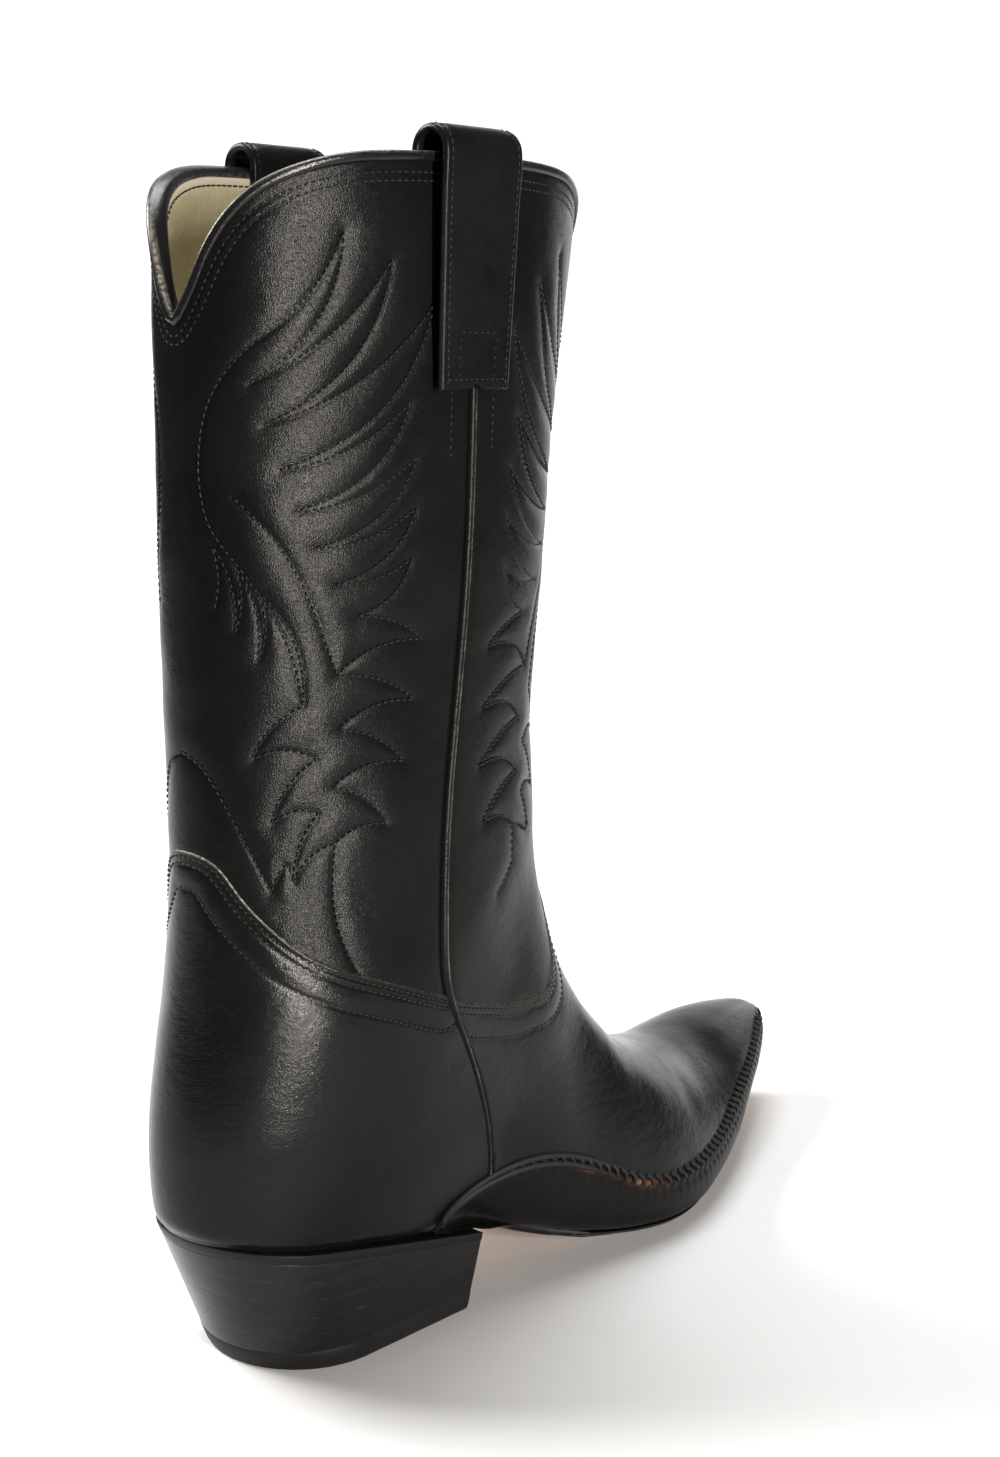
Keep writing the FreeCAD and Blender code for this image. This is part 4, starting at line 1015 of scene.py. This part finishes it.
def piping(name, side, node):
    """The cord over a side seam, from under the strap to the lacing."""
    run = np.linspace(8.2, LAST_U - 0.2, 900)
    line = skin(run, -side * beside_seam(0)(run))
    x, y, z = line.T
    held = (z > lacing_z(x) - 1) & (z < rim_z(np.abs(y)) - 3) & (x < PIPING_FRONT)
    run, line = run[held], line[held]
    far = chain_length(line)
    us = np.interp(np.arange(0, far[-1], PIPING_STEP), far, run)
    shaft = np.clip((np.interp(us, run, line[:, 2]) - 88) / 14, 0, 1)
    size = PIPING_SLIM + (1 - PIPING_SLIM) * shaft
    rings = np.stack([skin(us, -side * beside_seam(d)(us), h * size + (1 - shaft) * 0.5)
                      for d, h in PIPING_PROFILE], 1)
    centre = rings.mean(1, keepdims=True)
    rings = centre + (rings - centre) * size[:, None, None]
    # Painted highlight and wear along the crest, broken up by noise.
    wear = PIPING_WEAR_AND_HIGHLIGHT * np.clip(0.6 + 0.6 * value_noise(rings, 0.2, 7), 0, 1)
    add_piece(name, *tube(rings), "black_calf", [node], calf_black, {"wear": wear.ravel()})


for side, hand in ((1, "left"), (-1, "right")):
    piping(f"side_piping_leather_{hand}", side, f"side_piping_{hand}")

BINDING_PROFILE = [(2.6, -0.1), (2.6, 0.4), (2.3, 0.8), (1.6, 1.05), (0.8, 1.05), (0.2, 0.8), (-0.1, 0.25),
                   (-0.2, -0.5), (-0.1, -1.4), (0.1, -2.3), (0.5, -3.3), (1.1, -4.2), (2.1, -4.7),
                   (3.2, -4.6), (3.2, -3.9), (2.8, -2.0)]
BINDING_WEAR = [0, 0, 0, 0, 0, 0.2, 0.7, 0.3, 0, 0, 0, 0, 0.1, 0.3, 0.2, 0]
BINDING_STEP = 0.8


def rim_path(angle_of, shares):
    """Station and angle where each column meets the rim."""
    us = np.linspace(LAST_U - 5, LAST_U, 500)
    points = skin(us, angle_of(us, shares[:, None]))
    over = points[..., 2] - rim_z(np.abs(points[..., 1]))
    u = np.array([np.interp(0, row, us) for row in over])
    return u, angle_of(u, shares)


def binding(name, angle_of, node):
    """The rolled edging of the rim.  Returns the rim line with its directions out and down."""
    shares = np.linspace(-1, 1, 1600)
    far = chain_length(skin(*rim_path(angle_of, shares)))
    u, v = rim_path(angle_of, np.interp(np.arange(0, far[-1], BINDING_STEP), far, shares))
    line, out = on_surface(u, v)
    down = unit(np.cross(out, unit(np.gradient(line, axis=0))))
    down *= np.sign(-down[:, 2:3])
    wobble = (1 + 0.05 * value_noise(line, 0.12, 9))[:, None]
    rings = np.stack([line + down * d * wobble + out * h for d, h in BINDING_PROFILE], 1)
    wear = BINDING_WEAR * np.clip(0.75 + 0.45 * value_noise(rings, 0.2, 8), 0, 1)
    add_piece(name, *tube(rings), "binding_black", [node], binding_black, {"wear": wear.ravel()})
    return line, out, down


back_of_seam, front_of_seam = from_back(beside_seam(0)), from_front(beside_seam(0))
rims = [binding("binding_leather_back", back_of_seam, "top_binding_back"),
        binding("binding_leather_front", front_of_seam, "top_binding_front")]


# ------------------------------------------------------------------ linings
LINING_IN, LINING_OUT, FOOT_LINING_OUT = -4.2, -2.15, -3.3
SOCK_TOP, SOCK_BOTTOM = 8.2, 7.1
LINING_GAP = 2.6


def split_z(x):
    """Height of the seam between the shaft linings and the foot lining."""
    return 112 + (x + 90) * 56 / 380


for hand, angle_of, first in (("back", back_of_seam, 11), ("front", front_of_seam, 8)):
    g = surface_grid(160, 101, 141, angle_of, (first, LAST_U),
                     lambda x, y, z: np.minimum(z - split_z(x), under_rim(y, z, LINING_GAP)))
    lift = LINING_IN + soft_forms(g["points"], 0.3, 0.035, 41) + edge_drop(g["edge"], 0.8, -0.8)
    leather(f"shaft_lining_{hand}_leather", g, lift, [f"{hand}_shaft_lining"], lining_tan,
            np.clip(1.2 - g["high"] / 4.2, 0, 1), LINING_OUT, "lining_tan")

foot_grid = surface_grid(200, 121, 161, from_back(lambda u: math.pi - 0.002 + 0 * u), (1.2, 17),
                         lambda x, y, z: split_z(x) + 1.0 - z)
lift = LINING_IN + soft_forms(foot_grid["points"], 0.2, 0.035, 51)
leather("foot_lining_leather", foot_grid, lift, ["vamp_lining", "heel_lining", "sock_lining"], lining_tan,
        None, FOOT_LINING_OUT, "lining_tan", (SOCK_TOP, SOCK_BOTTOM))


# ------------------------------------------------------------------ heel and outsole
HEEL_ARC, HEEL_SIDE = 90, 34
HEEL_POINTS = HEEL_ARC + 3 * (HEEL_SIDE - 2) + 6
HEEL_CORNER = 1.2
TOP_LIFT = 6.5
LIFTS = 5


def heel_level(radius, back, breast, half):
    """Outline of the heel: round at the back, straight at the sides, small corners at the breast."""
    centre = radius - back
    angle = np.linspace(math.pi / 2, 3 * math.pi / 2, HEEL_ARC)
    arc = np.stack([centre + radius * np.cos(angle), radius * np.sin(angle)], 1)
    steps = np.linspace(0, 1, HEEL_SIDE)[1:-1, None]
    right_end, left_end = np.array([breast, -half]), np.array([breast, half])
    right, left = arc[-1] + (right_end - arc[-1]) * steps, left_end + (arc[0] - left_end) * steps
    inner, corner = (0.6 * HEEL_CORNER, 0), (0, HEEL_CORNER)
    front = [[right_end - inner, right_end + (-0.1, 0.1), right_end + corner],
             right_end + (left_end - right_end) * steps,
             [left_end - corner, left_end - (0.1, 0.1), left_end - inner]]
    return np.concatenate([arc, right, *front, left])


def heel_outline(height, proud=0.0):
    """Outline of the heel at the height of each of its points, stood off by proud."""
    share = (height / HEEL_TOP)[:, None]
    outline = heel_level(*HEEL_FOOT) * (1 - share) + heel_level(*HEEL_HEAD) * share
    return outline + unit(outline - (-5.0, 0.0)) * proud


def heel_ring(back, breast, proud):
    """Ring of the heel in a plane given by its heights at the back and at the breast."""
    x = np.zeros(HEEL_POINTS)
    for _ in range(6):
        height = back + (breast - back) * (x - SEAT_BACK) / (SEAT_BREAST - SEAT_BACK)
        x = heel_outline(height)[:, 0]
    return np.concatenate([heel_outline(height, proud), height[:, None]], 1)


def stack_ring(share, proud):
    """Ring at a share of the stack's height: the lifts fan, thicker at the back."""
    return heel_ring(*(TOP_LIFT + share * (rise - OUTSOLE_THICK - TOP_LIFT)
                       for rise in (SEAT_RISE_BACK, SEAT_RISE_BREAST)), proud)


# Share of a lift's height, height, or depth below the seat; and how far the ring stands out there.
LIFT_RINGS = [(0.0, -0.03), (0.035, -0.005), (0.12, 0.0), (0.5, 0.01), (0.88, 0.0), (0.965, -0.005)]
CAP_RINGS = [(0.0, -0.7), (0.15, -0.3), (0.6, -0.02), (1.5, 0.12), (4.0, 0.15), (5.9, 0.12), (6.35, -0.05),
             (TOP_LIFT, -0.3)]
SEAT_RINGS = [(OUTSOLE_THICK, -0.1), (3.0, 0.05), (2.5, 0.12), (1.6, 0.15), (0.7, 0.15), (0.2, 0.0),
              (0.0, -0.5)]
rings = [stack_ring((k + place) / LIFTS, proud) for k in range(LIFTS) for place, proud in LIFT_RINGS]
wear = np.repeat([0.15, 0.05, 0, 0, 0, 0] * LIFTS + [0.3], HEEL_POINTS)
add_piece("heel_stack_leather", *tube(np.stack(rings + [stack_ring(1.0, -0.1)])), "heel_black",
          [f"heel_lift_{k + 1}" for k in range(LIFTS)], heel_black, {"wear": wear}, sharp=35)

rings = [heel_ring(height, height, proud) for height, proud in CAP_RINGS]
add_piece("top_lift_rubber", *tube(np.stack(rings)), "cap_rubber", ["heel_top_lift"], cap_rubber, sharp=35)

seat_part = tube(np.stack([heel_ring(SEAT_RISE_BACK - drop, SEAT_RISE_BREAST - drop, proud)
                           for drop, proud in SEAT_RINGS]))

# The outsole in front of the heel: rings across the foot, with the edge in levels from the top down.
LEVELS = [0.0, 0.5, 1.2, 2.0, 2.7, 3.2]
INSETS = [0.3, 0.0, 0.0, 0.05, 0.35, 0.9]
ACROSS = np.linspace(0, 1, 12)[1:-1]
SOLE_TIP, BLACK_TIP, BARE_WAIST = 249.2, 247.5, 66
SLIMMEST = 0.84
sole_x = SEAT_BREAST + (SOLE_TIP - SEAT_BREAST) * np.sin(np.linspace(0, math.pi / 2, 260)) ** 0.92


def sole_edges():
    """Points of the right and of the left edge at each level."""
    edges = []
    us = np.linspace(0.05, 9.6, 900)
    reach = plan_half(sole_x)
    for drop, inset in zip(LEVELS, INSETS):
        v = angle_where(lambda x, z: z - bed_z(x) + drop)(us)
        right, left = skin(us, v, OVERLAY - 0.1), skin(us, -v, OVERLAY - 0.1)
        rank = np.argsort(right[:, 0])
        y_right = np.maximum(np.interp(sole_x, right[rank, 0], right[rank, 1]), -reach) + inset
        y_left = np.minimum(np.interp(sole_x, left[rank, 0], left[rank, 1]), reach) - inset
        centre, half = (y_right + y_left) / 2, (y_left - y_right) / 2
        if not edges:
            top_centre, top_half = centre, half
        slim = np.clip(9.5 - 10 * half / top_half, 0, 1)
        centre = centre + (top_centre - centre) * slim
        half = np.maximum(half, smooth_max(half, SLIMMEST * top_half, 0.8) * slim)
        edges.append([np.stack([sole_x, y, bed_z(sole_x) - drop], 1) for y in (centre - half, centre + half)])
    return [right for right, _ in edges], [left for _, left in edges]


right, left = sole_edges()
loops = (right + [right[-1] + (left[-1] - right[-1]) * t for t in ACROSS]
         + left[::-1] + [left[0] + (right[0] - left[0]) * t for t in ACROSS])
black = [1] * len(LEVELS) + [0] * len(ACROSS) + [1] * (len(LEVELS) + len(ACROSS))
fore_edge = np.maximum(black, np.clip((sole_x[:, None] - BLACK_TIP) / 1.2, 0, 1))
bare = np.clip((BARE_WAIST - sole_x) / 8, 0, 1)[:, None] * np.linspace(0, 1, len(LEVELS)) ** 2
fore_edge[:, :len(LEVELS)] -= bare
fore_edge[:, len(LEVELS) + len(ACROSS):-len(ACROSS)] -= bare[:, ::-1]
edge = np.concatenate([np.ones(len(seat_part[0])), fore_edge.ravel()])
add_piece("outsole_leather", *join([seat_part, tube(np.stack(loops, 1))]), "outsole_leather", ["outsole"],
          sole_leather, {"edge": edge}, sharp=45)


# ------------------------------------------------------------------ pull straps
STRAP_THICK = 2.4
STRAP_MIDDLE, STRAP_SHIFT = 28.4, 0.8
ARCH_Y, ARCH_Z, ARCH_RADIUS = 39.2, 345.8, 7.0
STRAP_OUTER = [(42.2, 281.5), (43.0, 295.0), (44.7, 322.0), (45.8, 338.0)]
STRAP_INNER = [(32.2, 338.0), (32.0, 320.0), (31.8, 292.0)]
STRAP_STEP, STRAP_ROW = 0.8, 2.2
STRAP_HALF, STRAP_SPREAD = 13.8, 1.6
STRAP_ROUND = (1.2, 1.25)


def strap(side, hand):
    """A strap: outer leg, arch over the rim, inner leg.  Returns its stitch lines."""
    arch = [(ARCH_Y + ARCH_RADIUS * math.cos(a), ARCH_Z + ARCH_RADIUS * math.sin(a))
            for a in np.linspace(0, math.pi, 15)]
    path = even_line(smooth_line(STRAP_OUTER + arch + STRAP_INNER), STRAP_STEP)
    normal = unit(np.gradient(path, axis=0)[:, ::-1] * (1, -1))
    share = even_places(2.0, 57, (0.0, 0.01, 0.035, 0.08)) - 1
    half = STRAP_HALF + STRAP_SPREAD * np.clip((path[:, 1] - 281) / 60, 0, 1)
    x = STRAP_MIDDLE + half[:, None] * share
    away = half[:, None] * (1 - np.abs(share))
    far = chain_length(path)[:, None]
    border_drop = edge_drop(np.minimum(away, np.minimum(far, far[-1] - far)), *STRAP_ROUND)
    puff = 0.2 * np.clip((away - 2.4) / 3, 0, 1) - 0.26 * np.exp(-((away - STRAP_ROW) / 0.5) ** 2)
    notch = 1.6 * np.exp(-((x - STRAP_MIDDLE) / 1.6) ** 2) * np.exp(-far / 4)

    def face(rise):
        y, z = (path[:, k:k + 1] + normal[:, k:k + 1] * rise for k in (0, 1))
        return np.stack([x, side * y + STRAP_SHIFT, z + notch], -1)

    verts, faces = shell(face(puff + border_drop), face(-STRAP_THICK - border_drop), 1)
    worn = np.exp(-(away / 0.7) ** 2) * np.clip((342 - path[:, 1:]) / 10, 0.15, 1)
    add_piece(f"pull_strap_leather_{hand}", verts, faces, "black_calf", [f"pull_strap_{hand}"], strap_black,
              {"wear": np.tile(worn.ravel(), 2)})

    out = np.stack([0 * normal[:, 0], side * normal[:, 0], normal[:, 1]], 1)
    y_out = side * path[:, 0] + STRAP_SHIFT
    lines = []
    for inset, narrow, start, stop in ((STRAP_ROW, 1, 2.4, 136), (-STRAP_ROW, -1, 2.4, 136),
                                       (0, 0.5, 3.2, 16), (0, -0.5, 3.2, 16)):
        held = slice(int(start / STRAP_STEP), int(stop / STRAP_STEP))
        at = np.stack([STRAP_MIDDLE + narrow * half - inset, y_out, path[:, 1]], 1) - out * 0.1
        lines.append((at[held], out[held]))
    for level, reach in ((3.2, STRAP_ROW), (16.0, 6.9)):
        k = int(level / STRAP_STEP)
        ends = STRAP_MIDDLE + np.array([-1, 1]) * (half[k] - reach)
        at = [(end, y_out[k], path[k, 1]) for end in np.linspace(*ends, 40)] - out[k] * 0.05
        lines.append((at, np.tile(out[k], (40, 1))))
    return lines


strap_lines = strap(1, "left") + strap(-1, "right")


# ------------------------------------------------------------------ lacing round the sole
lace_end = U_FINE[np.nonzero(lace_angle(U_FINE) > 0.05)[0][-1]] - 0.05
lace_u = np.linspace(tip_u - 0.02, lace_end, 1500)
right_line = on_surface(lace_u[::-1], lace_angle(lace_u[::-1]), OVERLAY)
left_line = on_surface(lace_u, -lace_angle(lace_u), OVERLAY)
lace_points = seat_flare(np.concatenate([right_line[0], left_line[0]]))
lace_out = np.concatenate([right_line[1], left_line[1]])
LACE_BACK, LACE_FRONT = 48, 246
LACE_LEAN, LACE_TURN, LACE_TWIST = 2.0, 3.2, 0.28
WELT_STEP, WELT_FRONT, WELT_RADIUS = 0.9, 104, 1.15
WELT_PLACES = (-1.45, 1.25)


def lace_frames(step):
    """Points along the lacing, with the directions out, along and across."""
    far = chain_length(lace_points)
    at = np.arange(step / 2, far[-1], step)
    point, out = sample(lace_points, at, far), unit(sample(lace_out, at, far))
    along = unit(np.gradient(point, axis=0))
    return point, out, along, np.cross(out, along)


def strand(centres, radius, flat, sides, out):
    """A cord round a centre line; flat narrows it along out."""
    tangent = unit(np.gradient(centres, axis=0))
    first = unit(out - (out * tangent).sum(1, keepdims=True) * tangent)
    return tube(rings_round(centres, flat * first, np.cross(tangent, first), radius[:, None, None], sides))


def lacing_parts():
    """Slanting stitches of two strands each, flatter and shorter towards the waist."""
    t = np.linspace(-1, 1, 13)[:, None]
    parts = []
    for p, o, a, c in zip(*lace_frames(LACE_PITCH)):
        if not LACE_BACK < p[0] < LACE_FRONT:
            continue
        fade = np.clip((p[0] - 44) / 40, 0.45, 1)
        down = np.sign(c[2] + 1e-6)
        centre = p + (c * t * LACE_LENGTH / 2 * fade - a * np.tanh(t * 1.6) * LACE_LEAN) * down
        centre = centre + o * (0.65 - 1.6 * np.abs(t) ** 2.6)
        thick = LACE_RADIUS * fade * (0.55 + 0.45 * np.sqrt(1 - 0.9 * t[:, 0] ** 4)) * 0.78
        for turn in (-LACE_TWIST, LACE_TWIST):
            twist = centre + (o * np.cos(t * LACE_TURN) + a * np.sin(t * LACE_TURN)) * turn
            parts.append(strand(twist, thick, 0.85, 7, o))
    return parts


def welt_parts():
    """Two cords side by side along the waist, from the heel to where the stitches grow."""
    point, out, _, across = lace_frames(WELT_STEP)
    parts = []
    for side in (-1, 1):
        held = (point[:, 0] < WELT_FRONT) & (point[:, 1] * side > 0)
        p, o, c = point[held], out[held], across[held]
        fade = np.clip((WELT_FRONT + 2 - p[:, 0]) / 24, 0.05, 1)
        for offset in WELT_PLACES:
            centre = p + c * offset + o * (0.35 * fade - 0.2)[:, None]
            parts.append(strand(centre, WELT_RADIUS * fade, 0.9, 8, o))
    return parts


add_piece("sole_lacing_cord", *join(lacing_parts() + welt_parts()), "thread_black", ["sole_lacing"],
          lace_black, sharp=60)


# ------------------------------------------------------------------ threads
# Pitch, length and radius of the stitches; places of the rows below the straps and in the lining.
SHAFT_THREAD, LINING_THREAD = (2.1, 1.45, 0.28), (2.6, 2.0, 0.26)
FOOT_ROW_SPAN, FOOT_ROW = (17.0, 17.8), 8.5
LINING_ROW, LINING_DEPTH = 5.6, 4.3
strap_feet = []
us = np.linspace(*FOOT_ROW_SPAN, 40)
for angle in (beside_seam(-FOOT_ROW), beside_seam(FOOT_ROW)):
    strap_feet += [on_surface(us, side * angle(us), 0.25) for side in (-1, 1)]
lining_lines = [(line + down * LINING_ROW - out * LINING_DEPTH, -out) for line, out, down in rims]
for name, lines, sizes in (
        ("shaft_thread_back", lift_threads(back_lines + back_rim_rows, -0.05), SHAFT_THREAD),
        ("shaft_thread_front", lift_threads(front_lines + front_rim_rows, -0.05), SHAFT_THREAD),
        ("foot_thread", lift_threads(counter_rows + vamp_rows, 0.45), SHAFT_THREAD),
        ("strap_thread", strap_lines + strap_feet, SHAFT_THREAD),
        ("lining_thread", lining_lines, LINING_THREAD)):
    add_piece(name, *stitch_parts(lines, *sizes), "thread_black", [], thread_black, sharp=70)


# ------------------------------------------------------------------ floor, light and camera
def floor_material():
    material, tree = new_material("floor_white")
    dress(tree, ramp(tree, noise(tree, 3, 3, 0.5), 0.83, 0.86), 0.7, 0.15)
    return material


def aim(item, place, target):
    """Item at a place, looking at the target."""
    item.location = place
    item.rotation_mode = "QUATERNION"
    item.rotation_quaternion = (Vector(target) - Vector(place)).to_track_quat("-Z", "Y")


def add_floor():
    """A table top that sweeps up behind the boot, square to the camera."""
    forward, right, up = np.array([(0.74, 0.67, 0.0), (0.67, -0.74, 0.0), (0, 0, 1)])
    profile = [(-0.45, 0.0), (0.0, 0.0), (0.5, 0.0), (1.4, 0.0), (1.7, 0.03), (1.95, 0.12), (2.15, 0.27),
               (2.28, 0.5), (2.33, 0.8), (2.35, 1.2), (2.35, 2.0)]
    sides = np.linspace(-1.1, 1.3, 9)
    mesh = bpy.data.meshes.new("floor")
    mesh.from_pydata([forward * a + right * b + up * h for a, h in profile for b in sides], [],
                     grid_faces(len(profile), len(sides)))
    mesh.polygons.foreach_set("use_smooth", [True] * len(mesh.polygons))
    mesh.materials.append(floor_material())
    add_object("floor", mesh)


def add_light(name, place, target, width, height, power, colour):
    data = bpy.data.lights.new(name, "AREA")
    data.shape = "RECTANGLE"
    data.size, data.size_y = width, height
    data.energy = power
    data.color = colour
    aim(add_object(name, data), place, target)


def set_world():
    """White surroundings that give little light of their own."""
    world = bpy.data.worlds.new("studio")
    world.use_nodes = True
    tree = world.node_tree
    path = tree.nodes.new("ShaderNodeLightPath")
    mixer = tree.nodes.new("ShaderNodeMixShader")
    dim, bright = tree.nodes["Background"], tree.nodes.new("ShaderNodeBackground")
    dim.inputs["Color"].default_value = (0.62, 0.64, 0.66, 1)
    dim.inputs["Strength"].default_value = 0.12
    bright.inputs["Color"].default_value = (1, 1, 1, 1)
    outputs = path.outputs["Is Camera Ray"], dim.outputs[0], bright.outputs[0]
    for output, socket in zip(outputs, mixer.inputs):
        tree.links.new(output, socket)
    tree.links.new(mixer.outputs[0], tree.nodes["World Output"].inputs[0])
    bpy.context.scene.world = world


def add_camera():
    data = bpy.data.cameras.new("camera")
    data.lens, data.sensor_width = CAMERA_LENS, CAMERA_SENSOR
    camera = add_object("camera", data)
    aim(camera, CAMERA_PLACE, CAMERA_TARGET)
    bpy.context.scene.camera = camera


CAMERA_PLACE, CAMERA_TARGET = (-0.3870, -0.4299, 0.2925), (0.0710, -0.0114, 0.1760)
CAMERA_LENS, CAMERA_SENSOR = 49.69, 36

add_floor()
set_world()
add_light("key", (-0.75, 1.55, 1.5), (0.05, 0, 0.1), 0.9, 0.9, 75, (1.0, 0.99, 0.97))
add_light("top", (0.5, 0.5, 2.3), (0.1, 0.1, 0), 1.2, 1.2, 45, (1, 1, 1))
add_light("side", (2.1, 0.5, 0.4), (0.1, 0, 0.1), 0.7, 0.6, 2.1, (0.95, 0.98, 1.0))
add_light("window", (-0.46, -1.9, 0.25), (0.0, 0, 0.2), 0.14, 1.3, 80, (1.0, 0.94, 0.88))
add_camera()
bpy.context.scene.view_settings.view_transform = "Standard"
